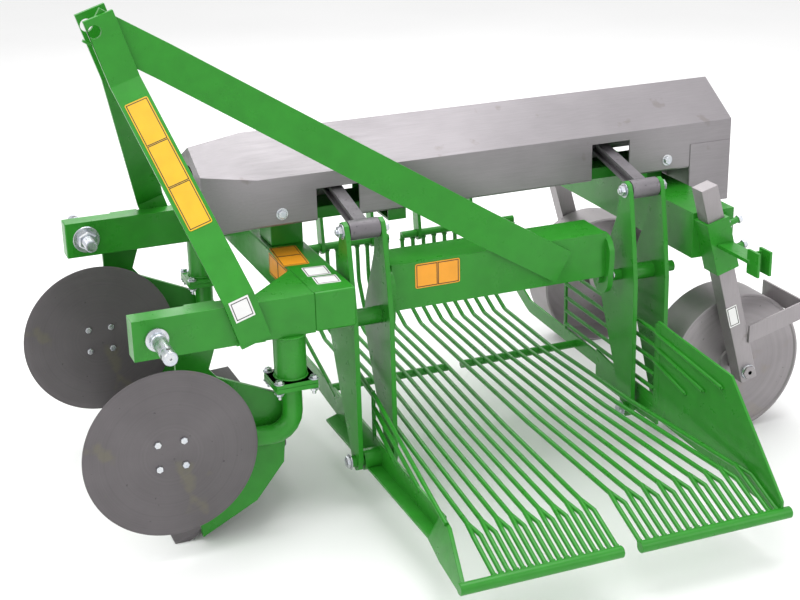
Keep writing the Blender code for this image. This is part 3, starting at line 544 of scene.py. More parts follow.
def tinted(value, red, green, blue):
    return rgba((value[0] * red, value[1] * green, value[2] * blue))


def start_material(name):
    material = bpy.data.materials.new(name)
    material.use_nodes = True
    tree = material.node_tree
    shader = tree.nodes["Principled BSDF"]
    return material, tree, shader


def blend_colour(tree, mask, base, tint):
    """The base colour, going to the tint where the mask is 1."""
    mix = add_node(tree, "ShaderNodeMix", data_type="RGBA")
    tree.links.new(mask, mix.inputs["Factor"])
    if isinstance(base, bpy.types.NodeSocket):
        tree.links.new(base, mix.inputs[6])
    else:
        mix.inputs[6].default_value = base
    mix.inputs[7].default_value = tint
    return mix.outputs[2]


def raise_bumps(tree, shader, height, strength, distance):
    bump = add_node(tree, "ShaderNodeBump")
    bump.inputs["Strength"].default_value = strength
    bump.inputs["Distance"].default_value = distance
    tree.links.new(height, bump.inputs["Height"])
    tree.links.new(bump.outputs["Normal"], shader.inputs["Normal"])


def paint_finish(name, base):
    """Gloss machine paint, a little uneven in colour, with an orange-peel surface and a few rubbed marks."""
    material, tree, shader = start_material(name)
    clouds = use_group(tree, "Mottle", Colour=rgba(base), Tint=rgba(base, 0.78), Scale=5.0, Amount=0.55)
    fine = use_group(tree, "Mottle", Tint=rgba(base, 1.22), Scale=38.0, Amount=0.35)
    tree.links.new(clouds.outputs["Colour"], fine.inputs["Colour"])
    marks = use_group(tree, "Scuffs", Scale=55.0, Sparse=0.74, Strength=0.35)
    colour_out = blend_colour(tree, marks.outputs["Mask"], fine.outputs["Colour"], rgba(base, 0.45))
    tree.links.new(colour_out, shader.inputs["Base Color"])
    sheen = use_group(tree, "Grain", Scale=22.0, Stretch=(1, 1, 1), Low=0.24, High=0.40)
    tree.links.new(sheen.outputs["Value"], shader.inputs["Roughness"])
    peel = use_group(tree, "Grain", Scale=420.0, Stretch=(1, 1, 1), Low=0.0, High=1.0)
    raise_bumps(tree, shader, peel.outputs["Height"], 0.22, 0.0006)
    shader.inputs["Specular IOR Level"].default_value = 0.32
    shader.inputs["Coat Weight"].default_value = 0.12
    shader.inputs["Coat Roughness"].default_value = 0.10
    return material


def sheet_finish(name, base, stretch=(1.5, 34, 34), metal=0.62):
    """Cold-rolled sheet: faint rolling streaks, cloudy oxide and a few stains."""
    material, tree, shader = start_material(name)
    clouds = use_group(tree, "Mottle", Colour=rgba(base), Tint=rgba(base, 0.74), Scale=4.5, Amount=0.75)
    streaks = use_group(tree, "Grain", Scale=16.0, Stretch=stretch, Low=0.0, High=0.28)
    streaked = blend_colour(tree, streaks.outputs["Value"], clouds.outputs["Colour"], rgba(base, 1.25))
    stains = use_group(tree, "Scuffs", Scale=26.0, Sparse=0.66, Strength=0.42)
    stained = blend_colour(tree, stains.outputs["Mask"], streaked, tinted(base, 0.62, 0.56, 0.50))
    tree.links.new(stained, shader.inputs["Base Color"])
    shader.inputs["Metallic"].default_value = metal
    dull = use_group(tree, "Grain", Scale=9.0, Stretch=stretch, Low=0.34, High=0.52)
    tree.links.new(dull.outputs["Value"], shader.inputs["Roughness"])
    raise_bumps(tree, shader, streaks.outputs["Height"], 0.10, 0.0004)
    return material


def turned_finish(name, base, stain, rings=260.0, metal=0.62):
    """Steel plate that was turned or pressed: rings about the axle, cloudy oxide and stains."""
    material, tree, shader = start_material(name)
    clouds = use_group(tree, "Mottle", Colour=rgba(base), Tint=rgba(base, 0.70), Scale=7.0, Amount=0.70)
    marks = use_group(tree, "Turned Marks", Rings=rings, Low=0.0, High=0.14)
    ringed = blend_colour(tree, marks.outputs["Value"], clouds.outputs["Colour"], rgba(base, 1.35))
    stains = use_group(tree, "Scuffs", Scale=13.0, Sparse=0.62, Strength=0.55)
    stained = blend_colour(tree, stains.outputs["Mask"], ringed, rgba(stain))
    specks = use_group(tree, "Scuffs", Scale=95.0, Sparse=0.71, Strength=0.7)
    specked = blend_colour(tree, specks.outputs["Mask"], stained, rgba(base, 0.35))
    tree.links.new(specked, shader.inputs["Base Color"])
    shader.inputs["Metallic"].default_value = metal
    dull = use_group(tree, "Turned Marks", Rings=rings * 0.4, Low=0.42, High=0.50)
    tree.links.new(dull.outputs["Value"], shader.inputs["Roughness"])
    raise_bumps(tree, shader, marks.outputs["Height"], 0.03, 0.0002)
    return material


def forged_finish(name, base):
    """Forged and cast steel with a dark, slightly pitted skin."""
    material, tree, shader = start_material(name)
    clouds = use_group(tree, "Mottle", Colour=rgba(base), Tint=rgba(base, 1.5), Scale=18.0, Amount=0.7)
    pits = use_group(tree, "Scuffs", Scale=160.0, Sparse=0.62, Strength=0.6)
    pitted = blend_colour(tree, pits.outputs["Mask"], clouds.outputs["Colour"], rgba(base, 0.4))
    tree.links.new(pitted, shader.inputs["Base Color"])
    shader.inputs["Metallic"].default_value = 0.55
    dull = use_group(tree, "Grain", Scale=30.0, Stretch=(1, 1, 1), Low=0.40, High=0.60)
    tree.links.new(dull.outputs["Value"], shader.inputs["Roughness"])
    raise_bumps(tree, shader, pits.outputs["Mask"], 0.3, 0.0004)
    return material


def zinc_finish(name, base):
    """Bright zinc plating, a little uneven."""
    material, tree, shader = start_material(name)
    blue_tint = tinted(base, 0.80, 0.83, 0.92)
    clouds = use_group(tree, "Mottle", Colour=rgba(base), Tint=blue_tint, Scale=60.0, Amount=0.9)
    tree.links.new(clouds.outputs["Colour"], shader.inputs["Base Color"])
    shader.inputs["Metallic"].default_value = 0.92
    dull = use_group(tree, "Grain", Scale=90.0, Stretch=(1, 1, 1), Low=0.20, High=0.38)
    tree.links.new(dull.outputs["Value"], shader.inputs["Roughness"])
    raise_bumps(tree, shader, dull.outputs["Height"], 0.15, 0.0003)
    return material


def print_finish(name, base, worn=0.82):
    """Printed film: an even colour that is slightly faded and rubbed."""
    material, tree, shader = start_material(name)
    clouds = use_group(tree, "Mottle", Colour=rgba(base), Tint=rgba(base, worn), Scale=30.0, Amount=0.5)
    tree.links.new(clouds.outputs["Colour"], shader.inputs["Base Color"])
    gloss = use_group(tree, "Grain", Scale=45.0, Stretch=(1, 1, 1), Low=0.30, High=0.46)
    tree.links.new(gloss.outputs["Value"], shader.inputs["Roughness"])
    raise_bumps(tree, shader, gloss.outputs["Height"], 0.06, 0.0002)
    return material


def finish(name):
    """A named finish, made when it is first asked for."""
    made = bpy.data.materials.get(name)
    if made:
        return made
    colours = bpy.context.scene.harvester_colours
    makers = {
        "gloss green paint": lambda: paint_finish(name, colours.paint),
        "cover sheet": lambda: sheet_finish(name, colours.sheet),
        "leg steel": lambda: sheet_finish(name, colours.wheel, (30, 30, 1.5)),
        "disc steel": lambda: turned_finish(name, colours.disc, (0.16, 0.15, 0.105)),
        "wheel steel": lambda: turned_finish(name, colours.wheel, (0.27, 0.24, 0.22), 120.0),
        "share steel": lambda: sheet_finish(name, colours.disc, (1.5, 30, 30)),
        "forged steel": lambda: forged_finish(name, colours.forged),
        "zinc plate": lambda: zinc_finish(name, colours.zinc),
        "yellow print": lambda: print_finish(name, colours.yellow),
        "orange print": lambda: print_finish(name, colours.orange),
        "white print": lambda: print_finish(name, colours.white, 0.9),
        # This dark ink prints the labels' frames and also paints the shade into the hitch pins' clip holes.
        "label ink and painted shade": lambda: print_finish(name, colours.ink, 1.6),
    }
    return makers[name]()


def slotted(piece):
    """Hands back the piece as it is."""
    return piece


# Pieces

FRONT_TUBES = ("hitch_arm_left", "hitch_arm_right", "cross_beam", "main_beam")
REAR_TUBES = ("spine", "hanger_rail", "rear_beam")
GREEN_PLATES = (
    "mast_leg_left", "mast_leg_right", "mast_brace", "gusset_left", "gusset_right", "rear_bracket",
    "cover_strap_front", "cover_strap_rear", "share_leg_left", "share_leg_right",
    "disc_post_left", "disc_post_right", "disc_arm_left", "disc_arm_right",
)
SWINGING_PLATES = ("rocker_front", "rocker_rear", "hanger_1", "hanger_2", "hanger_3", "hanger_4")


class HARVESTER_OT_frame(bpy.types.Operator):
    """Builds the painted box tubes and plates of the frame"""

    bl_idname = "harvester.frame"
    bl_label = "Frame"

    def execute(self, context):
        sizes = context.scene.harvester_sizes
        paint = finish("gloss green paint")
        for nodes, edge in ((FRONT_TUBES, sizes.tube_corner), (REAR_TUBES, sizes.plate_edge * 2)):
            for node in nodes:
                slotted(rounded_copy(node, paint, edge, 3))
        for node in GREEN_PLATES:
            slotted(rounded_copy(node, paint, sizes.plate_edge))
        return {"FINISHED"}


class HARVESTER_OT_rockers(bpy.types.Operator):
    """Builds the rockers that shake the sieves and the hangers behind them"""

    bl_idname = "harvester.rockers"
    bl_label = "Rockers and hangers"

    def execute(self, context):
        for node in SWINGING_PLATES:
            slotted(rounded_copy(node, finish("gloss green paint"), context.scene.harvester_sizes.plate_edge))
        return {"FINISHED"}


class HARVESTER_OT_drive(bpy.types.Operator):
    """Builds the drive shaft, its bearings and the connecting rods"""

    bl_idname = "harvester.drive"
    bl_label = "Drive"

    def execute(self, context):
        edge = context.scene.harvester_sizes.plate_edge
        for node in ("connecting_rod_front", "connecting_rod_rear", "eccentric_shaft"):
            slotted(rounded_copy(node, finish("forged steel"), edge))
        for node in ("bearing_front", "bearing_middle", "bearing_rear"):
            slotted(rounded_copy(node, finish("forged steel"), edge * 2))
        return {"FINISHED"}


SEAM_INSET = 0.002
SEAM_END = 0.104  # how far the seam plates reach forward from the cover's rear end
SEAM_TOP = 0.622
SEAM_THICK = 0.0016


class HARVESTER_OT_cover(bpy.types.Operator):
    """Builds the ridged sheet cover over the drive, with its seam plates"""

    bl_idname = "harvester.cover"
    bl_label = "Drive cover"

    def execute(self, context):
        sizes = context.scene.harvester_sizes
        slotted(rounded_copy("drive_cover", finish("cover sheet"), sizes.sheet_fold))
        low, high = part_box("drive_cover")
        seam = Shape()
        for side in (1, -1):
            y = high.y if side > 0 else low.y
            inner, outer = sorted((y, y + side * SEAM_THICK))
            seam.block((low.x + SEAM_INSET, inner, low.z + SEAM_INSET), (low.x + SEAM_END, outer, SEAM_TOP))
        slotted(seam.piece("cover_seam_plates", finish("cover sheet"), BODY_OF["drive_cover"], 0.0006))
        return {"FINISHED"}


class HARVESTER_OT_share(bpy.types.Operator):
    """Builds the digging share"""

    bl_idname = "harvester.share"
    bl_label = "Share"

    def execute(self, context):
        edge = context.scene.harvester_sizes.plate_edge * 0.6
        slotted(rounded_copy("share_blade", finish("share steel"), edge))
        return {"FINISHED"}


DISC_HALF_THICK = 0.003
DISC_BEVEL = 0.017
DISC_BORE = 0.004
DISC_BOLT_CIRCLE = 0.036
DISC_BOLT_COUNT = 4
DISC_BOLT_RADIUS = 0.0075
DISC_BOLT_HEAD = 0.0045


class HARVESTER_OT_discs(bpy.types.Operator):
    """Builds the two flat coulter discs with their bevelled rims and four bolts each"""

    bl_idname = "harvester.discs"
    bl_label = "Coulter discs"

    def execute(self, context):
        for word in ("left", "right"):
            node = "disc_" + word
            low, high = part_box(node)
            centre = joint_place(node + "_spin")
            radius = (high.x - low.x) / 2
            half, rim, flat = DISC_HALF_THICK, radius - 0.001, radius - DISC_BEVEL
            profile = (
                (DISC_BORE, -half), (flat, -half), (rim, -0.0012), (radius, -0.0006),
                (radius, 0.0006), (rim, 0.0012), (flat, half), (DISC_BORE, half),
            )
            plate = Shape()
            plate.lathe(centre, (0, 1, 0), profile, 144)
            plate_look = {"origin": centre, "smooth_under": math.radians(7)}
            slotted(plate.piece(node + "_plate", finish("disc steel"), node, replaces=(node,), **plate_look))
            bolts = Shape()
            for i in range(DISC_BOLT_COUNT):
                angle = math.radians(45 + 360 / DISC_BOLT_COUNT * i)
                across, up = DISC_BOLT_CIRCLE * math.cos(angle), DISC_BOLT_CIRCLE * math.sin(angle)
                foot = centre + Vector((across, half, up))
                bolts.hex_bolt(foot, (0, 1, 0), DISC_BOLT_RADIUS, DISC_BOLT_HEAD, washer=False, turn=angle)
            slotted(bolts.piece(node + "_bolts", finish("zinc plate"), node, 0.0005, 1, origin=centre))
        return {"FINISHED"}


SCRAPER_PAST_LEG = 0.0053  # how far a scraper's outer side stands past its leg's face
RIM_THICK = 0.005


def leg_outside(word):
    """The outer face of a wheel leg's tube."""
    low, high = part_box("scraper_" + word)
    return high.y - SCRAPER_PAST_LEG if word == "left" else low.y + SCRAPER_PAST_LEG


def wheel_profile(radius, half):
    """A dished wheel's section as (radius, height) points, from the hub's bore out to the rim and back."""
    inside = radius - RIM_THICK
    return (
        (0.012, half - 0.012), (0.030, half - 0.012), (0.032, half - 0.017), (0.060, half - 0.019),
        (0.094, half - 0.013), (0.140, half - 0.003), (radius - RIM_THICK - 0.003, half - 0.003),
        (inside, half), (radius - 0.001, half), (radius, half - 0.001),
        (radius, 0.001 - half), (radius - 0.001, -half), (inside, -half),
        (inside, half - 0.009), (0.140, half - 0.009), (0.094, half - 0.019), (0.060, half - 0.025),
        (0.033, half - 0.025), (0.030, 0.018 - half), (0.012, 0.018 - half),
    )


class HARVESTER_OT_wheels(bpy.types.Operator):
    """Builds the depth wheels, their legs, axle ends and scrapers"""

    bl_idname = "harvester.wheels"
    bl_label = "Depth wheels"

    def execute(self, context):
        sizes = context.scene.harvester_sizes
        for side, word in ((1, "left"), (-1, "right")):
            node = "wheel_" + word
            low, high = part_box(node)
            centre = joint_place(node + "_spin")
            radius, half = (high.z - low.z) / 2, (high.y - low.y) / 2
            rim = Shape()
            rim.lathe(centre, (0, side, 0), wheel_profile(radius, half), 144, joined=True)
            rim_look = {"origin": centre, "smooth_under": math.radians(24)}
            slotted(rim.piece(node + "_rim", finish("wheel steel"), node, replaces=(node,), **rim_look))
            leg = "wheel_leg_" + word
            slotted(rounded_copy(leg, finish("leg steel"), sizes.tube_corner, 3))
            slotted(rounded_copy("scraper_" + word, finish("leg steel"), sizes.plate_edge))
            foot = Vector((centre.x, leg_outside(word), centre.z))
            axle = Shape()
            for profile, sides, slot in (
                (((0.0165, 0), (0.0165, 0.004), (0.0150, 0.0055), (0.011, 0.0058)), 40, 0),
                (((0.0105, 0.002), (0.0105, 0.0066), (0.0085, 0.0085)), 32, 1),
                (((0.0045, 0.006), (0.0045, 0.0100)), 24, 0),
            ):
                axle.lathe(foot, (0, side, 0), profile, sides, slot)
            surfaces = [finish("zinc plate"), finish("forged steel")]
            slotted(axle.piece(leg + "_axle_end", surfaces, BODY_OF[leg]))
        return {"FINISHED"}


# Sieves: the profile that every rod follows, as (Y, Z) offsets from the rocker's lower pin
ROD_PROFILE = (
    (-0.630, 0.245), (-0.625, 0.150), (-0.590, 0.085), (-0.520, 0.055), (-0.280, 0.048), (0.050, 0.040),
)
FORK_OFFSET = (0.415, 0.042)
SLANT_START = -0.230  # where along the profile the rods start to spread towards the comb
COMB_OFFSET = (0.545, 0.0)
CROSS_ROD_OFFSET = (-0.280, 0.041)
CROSS_ROD_RADIUS = 0.009
COMB_RADIUS = 0.0115
COMB_END_RADIUS = 0.0102
PIN_BAR_RADIUS = 0.012
ROD_COUNT = 9
RODS_PAST_HANGERS = 1.5  # how many rods stand outside each hanger, counted in gaps
PAST_TINES = 0.014


class SieveLayout:
    """Where one sieve's rods, comb and side stand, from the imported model's joints and boxes."""

    def __init__(self, word):
        self.front = word == "front"
        first, last = ("hanger_1", "hanger_2") if self.front else ("hanger_3", "hanger_4")
        x_first, x_last = (joint_place(name + "_swing").x for name in (first, last))
        gap = (x_last - x_first) / (ROD_COUNT - 1 - 2 * RODS_PAST_HANGERS)
        self.back = [x_first + gap * (i - RODS_PAST_HANGERS) for i in range(ROD_COUNT)]
        pin = joint_place(f"sieve_{word}_swing")
        self.side_x, self.pin_y, self.pin_z = pin
        start, end = (-0.015, -0.247) if self.front else (0.294, 0.015)
        self.fork = [self.side_x + start + (end - start) * i / (ROD_COUNT - 1) for i in range(ROD_COUNT)]
        comb = (end - PAST_TINES, 0.064) if self.front else (-0.018, start + PAST_TINES)
        self.comb = tuple(self.side_x + x for x in comb)
        self.spread = abs(end - start) / (ROD_COUNT - 1) / 4

    def at(self, x, offset):
        return Vector((x, self.pin_y + offset[0], self.pin_z + offset[1]))


def add_tine(rods, layout, x_fork, end, radius, rng):
    """One arm of a rod's fork, with the blob of weld that holds it on the comb."""
    path = (
        layout.at(x_fork, (FORK_OFFSET[0] - 0.012, FORK_OFFSET[1] + 0.001)),
        layout.at(end, (FORK_OFFSET[0] + 0.034, FORK_OFFSET[1] - 0.003)),
        layout.at(end, (COMB_OFFSET[0] - 0.001, COMB_OFFSET[1] + 0.003)),
    )
    rods.tube(bent(path, 0.010, 3), radius, 10)
    blob = layout.at(end, (COMB_OFFSET[0] - 0.010, COMB_OFFSET[1] + 0.006))
    reach = Vector((0, 0.006, -0.001))
    bead = radius * rng.uniform(1.25, 1.55)
    rods.tube((blob - reach, blob, blob + reach), bead, 8, 0, (bead * 0.5, bead, bead * 0.6))


def sieve_rods(word, layout, sizes):
    """A sieve's rods with their forked ends, the cross rods under them and the comb bar."""
    rods = Shape()
    rng = random.Random(len(word))
    for x, x_fork in zip(layout.back, layout.fork):
        slant = (x_fork - x) / (FORK_OFFSET[0] - SLANT_START)
        path = [
            layout.at(x + slant * max(0.0, offset[0] - SLANT_START), offset)
            for offset in (*ROD_PROFILE, FORK_OFFSET)
        ]
        rods.tube(bent(path, sizes.bend), sizes.rod)
        for side in (1, -1):
            add_tine(rods, layout, x_fork, x_fork + side * layout.spread, sizes.tine, rng)
    back_ends = (min(layout.back[-1], layout.side_x) - 0.004, max(layout.back[0], layout.side_x) + 0.002)
    for offset in (ROD_PROFILE[0], CROSS_ROD_OFFSET):
        rods.tube([layout.at(x, offset) for x in back_ends], CROSS_ROD_RADIUS, 20)
    comb = [layout.at(x, COMB_OFFSET) for x in layout.comb]
    inset = Vector((0.0015, 0, 0))
    rods.tube(
        (comb[0], comb[0] + inset, comb[1] - inset, comb[1]), COMB_RADIUS, 28, 0,
        (COMB_END_RADIUS, COMB_RADIUS, COMB_RADIUS, COMB_END_RADIUS),
    )
    bead = 0.0075
    for x in layout.back:
        top = layout.at(x, ROD_PROFILE[0])
        rods.tube((top - Vector((0, 0, 0.016)), top - Vector((0, 0, 0.010))), bead, 8, 0, (sizes.rod, bead))
    return rods


def front_side(layout):
    """The front sieve's side: an angle between the rocker's plates and its corner plate."""
    side = Shape()
    x = layout.side_x
    half = 0.003
    low, high, flange, corner = x - half, x + half, x + 0.032, layout.comb[1]
    py, pz = layout.pin_y, layout.pin_z
    web = (
        (-0.480, 0.010), (-0.180, -0.018), (0.340, -0.018),
        (0.340, 0.028), (0.050, 0.032), (-0.030, 0.040), (-0.480, 0.050),
    )
    side.prism("X", [(py + a, pz + b) for a, b in web], low, high)
    ledge = ((low, -0.260), (flange, -0.240), (flange, 0.340), (low, 0.340))
    side.prism("Z", [(a, py + b) for a, b in ledge], pz - 0.0178, pz - 0.012)
    rings = []
    for y, points in (
        (0.325, ((low, -0.017), (flange, -0.017), (high, 0.027), (low, 0.027))),
        (0.420, ((x + 0.020, -0.016), (x + 0.048, -0.016), (x + 0.030, 0.050), (x + 0.022, 0.050))),
        (COMB_OFFSET[0], ((x + 0.050, -0.009), (corner, -0.009), (x + 0.060, 0.009), (x + 0.052, 0.009))),
    ):
        rings.append([Vector((a, py + y, pz + b)) for a, b in points])
    side.loft(rings)
    return side


def front_guards(layout, sizes):
    """The rods above the front sieve's side, with their post, and the lower pin with its boss."""
    guards = Shape()
    x = layout.side_x
    rocker = joint_place("rocker_front_swing").x
    pin = Vector((0, layout.pin_y, layout.pin_z))
    for radius, start, end in ((PIN_BAR_RADIUS, rocker - 0.044, rocker + 0.054), (0.022, x, rocker + 0.0275)):
        guards.tube((pin + Vector((start, 0, 0)), pin + Vector((end, 0, 0))), radius, 28)
    post = -0.026
    guards.tube([layout.at(x, (post, height)) for height in (0.025, 0.136)], 0.0042, 12)
    for height, y_end, x_end, height_end in (
        (0.130, 0.400, x + 0.024, 0.047), (0.100, 0.220, x, 0.022), (0.070, 0.100, x, 0.022),
    ):
        start = [layout.at(x, (post, height)), layout.at(x, (post + 0.008, height - 0.001))]
        guards.tube(bent((*start, layout.at(x_end, (y_end, height_end))), 0.02), sizes.guard)
    for start, end in (((-0.626, 0.238), (post, 0.130)), ((-0.620, 0.140), (-0.260, 0.030))):
        guards.tube([layout.at(x, start), layout.at(x, end)], sizes.guard)
    hoop = [layout.at(x, offset) for offset in (*ROD_PROFILE[:3], (-0.460, 0.030))]
    guards.tube(bent(hoop, sizes.bend), sizes.guard)
    return guards


def rear_side(layout, sizes):
    """The rear sieve's side: a strip along the rods, a wide post, a foot and a tall sheet up to the comb."""
    side = Shape()
    x = layout.side_x
    strip = [layout.at(x, (a, b - 0.004)) for a, b in ROD_PROFILE] + [layout.at(x, (0.180, 0.031))]
    side.bar(bent(strip, sizes.bend, 4), 0.0027, 0.016)
    foot = ((-0.180, -0.010), (0.090, -0.010), (0.090, 0.025), (-0.180, 0.065))
    side.prism("X", [(layout.pin_y + a, layout.pin_z + b) for a, b in foot], x - 0.0023, x + 0.0033)
    comb = COMB_OFFSET[0]
    tall = ((0.080, 0.005), (0.080, 0.226), (0.122, 0.222), (0.357, 0.210), (comb, 0.025), (comb, -0.008))
    side.prism("X", [(layout.pin_y + a, layout.pin_z + b) for a, b in tall], x - 0.003, x + 0.003)
    for low, high, half in ((-0.340, -0.330, 0.0029), (0.072, 0.094, 0.0037)):
        corners = ((low, 0.040), (high, 0.040), (high, 0.218), (low, 0.218))
        side.prism("X", [(layout.pin_y + a, layout.pin_z + b) for a, b in corners], x - half, x + half)
    lug = (
        (-0.030, -0.018), (0.030, -0.018), (0.036, 0.020), (0.012, 0.040), (-0.020, 0.040), (-0.036, 0.012),
    )
    side.prism("X", [(layout.pin_y + a, layout.pin_z + b) for a, b in lug], x - 0.0085, x - 0.0022)
    return side


def rear_guards(layout, sizes):
    """The rods behind the rear sieve's tall sheet, and its lower pin."""
    guards = Shape()
    x = layout.side_x
    rocker = joint_place("rocker_rear_swing").x
    pin = Vector((0, layout.pin_y, layout.pin_z))
    rng = random.Random(5)
    pin_ends = [pin + Vector((rocker + reach, 0, 0)) for reach in (-0.048, 0.054)]
    guards.tube(pin_ends, PIN_BAR_RADIUS, 28)
    for i in range(5):
        height = 0.072 + 0.033 * i
        end = (0.085, height - 0.006) if i < 2 else (0.200 + 0.065 * (i - 2), height - 0.030)
        guards.tube([layout.at(x, (-0.335, height)), layout.at(x, (0.070, height - 0.006))], sizes.guard)
        if i >= 2:
            face = x + 0.0045
            step = layout.at(x, (0.065, height - 0.006))
            edge = layout.at(face, (0.092, height - 0.008))
            tip = layout.at(face, end)
            guards.tube((step, edge, tip), sizes.guard)
            guards.weld((tip - Vector((0, 0.012, -0.001)), tip + Vector((0, 0.004, 0))), 0.0040, rng)
    return guards


class HARVESTER_OT_sieves(bpy.types.Operator):
    """Builds the two rod sieves, their open combs and their sides"""

    bl_idname = "harvester.sieves"
    bl_label = "Sieves"

    def execute(self, context):
        sizes = context.scene.harvester_sizes
        paint = finish("gloss green paint")
        for word in ("front", "rear"):
            layout = SieveLayout(word)
            body = "sieve_" + word
            slotted(sieve_rods(word, layout, sizes).piece(body + "_rods", paint, body, replaces=(body,)))
            side = front_side(layout) if layout.front else rear_side(layout, sizes)
            slotted(side.piece(body + "_side", paint, body, sizes.plate_edge))
            guards = front_guards(layout, sizes) if layout.front else rear_guards(layout, sizes)
            slotted(guards.piece(body + "_guards", paint, body))
        return {"FINISHED"}


PIN_RADIUS = 0.0140
PIN_GROOVE_RADIUS = 0.0128
# The clip holes are painted shade: thin discs of the dark label ink, standing a little proud of the pin, not
# cut holes.
CLIP_HOLE_RADIUS = 0.0042
CLIP_HOLE_FROM_TIP = 0.017
CLIP_SHADE_LIFT = 0.0006
CLIP_HOLE_OUT = PIN_RADIUS - 0.0004
PIN_NUT_RADIUS = 0.0220
PIN_NUT_HEIGHT = 0.014


class HARVESTER_OT_pins(bpy.types.Operator):
    """Builds the lower hitch pins, with collar, shoulder and inner nut; each clip hole is not cut but drawn
    as a thin dark disc of painted shade
    """

    bl_idname = "harvester.pins"
    bl_label = "Hitch pins"

    def execute(self, context):
        for side, word in ((1, "left"), (-1, "right")):
            node = "hitch_pin_" + word
            low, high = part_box(node)
            arm_low, arm_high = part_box("hitch_arm_" + word)
            face, inner_face = (arm_high.y, arm_low.y) if side > 0 else (arm_low.y, arm_high.y)
            centre = middle(node)
            tip = abs((high.y if side > 0 else low.y) - face)
            foot = Vector((centre.x, face, centre.z))
            profile = (
                (0.0215, 0.0004), (0.0225, 0.002), (0.0225, 0.0075), (0.0165, 0.0095),
                (0.0160, 0.019), (PIN_RADIUS, 0.021),
                (PIN_RADIUS, tip - 0.034), (PIN_GROOVE_RADIUS, tip - 0.032),
                (PIN_GROOVE_RADIUS, tip - 0.028), (PIN_RADIUS, tip - 0.026),
                (PIN_RADIUS, tip - 0.002), (0.0122, tip), (0.0022, tip), (0.0020, tip - 0.004),
            )
            pin = Shape()
            pin.lathe(foot, (0, side, 0), profile, 48)
            clip = foot + Vector((0, side * (tip - CLIP_HOLE_FROM_TIP), 0))
            # Painted shade: a thin disc in the dark label ink over each opening of the clip hole.
            for way in (Vector((1, 0, 0)), Vector((-1, 0, 0)), Vector((0, 0, 1))):
                hole = ((CLIP_HOLE_RADIUS, 0), (CLIP_HOLE_RADIUS, CLIP_SHADE_LIFT))
                pin.lathe(clip + way * CLIP_HOLE_OUT, way, hole, 20, 1)
            inner = Vector((centre.x, inner_face, centre.z))
            inward = Vector((0, -side, 0))
            pin.hex_bolt(inner, inward, PIN_NUT_RADIUS, PIN_NUT_HEIGHT, turn=0.2)
            pin.thread(inner + inward * PIN_NUT_HEIGHT, inward, 0.0130, 0.046, 0.0025)
            # The second finish, the dark label ink, paints the shade inside the clip holes.
            surfaces = [finish("zinc plate"), finish("label ink and painted shade")]
            slotted(pin.piece(node + "_turned", surfaces, BODY_OF[node], 0.0004, 1, (node,)))
        return {"FINISHED"}


ROD_BOLT_OUT = 0.0430  # from a rocker's middle to the outer faces at its upper bolt
SIEVE_BOLT_OUT = 0.0535
COVER_BOLT_HEIGHT = 0.593
COVER_BOLT_FROM_REAR = 0.162
COVER_BOLT_FROM_NOSE = 0.157
CLAMP_BOLT_SPREAD = 0.035
CLAMP_BOLT_RADIUS = 0.0078
CLAMP_BOLT_HEAD = 0.0060
SLEEVE_BOLT_HEIGHTS = (0.285, 0.345)  # along the leg, from the wheel's axle
PIVOT_BOLTS = ((-1.0305, -1), (-0.5445, 1))  # how far from the hitch point, and which way the bolt faces


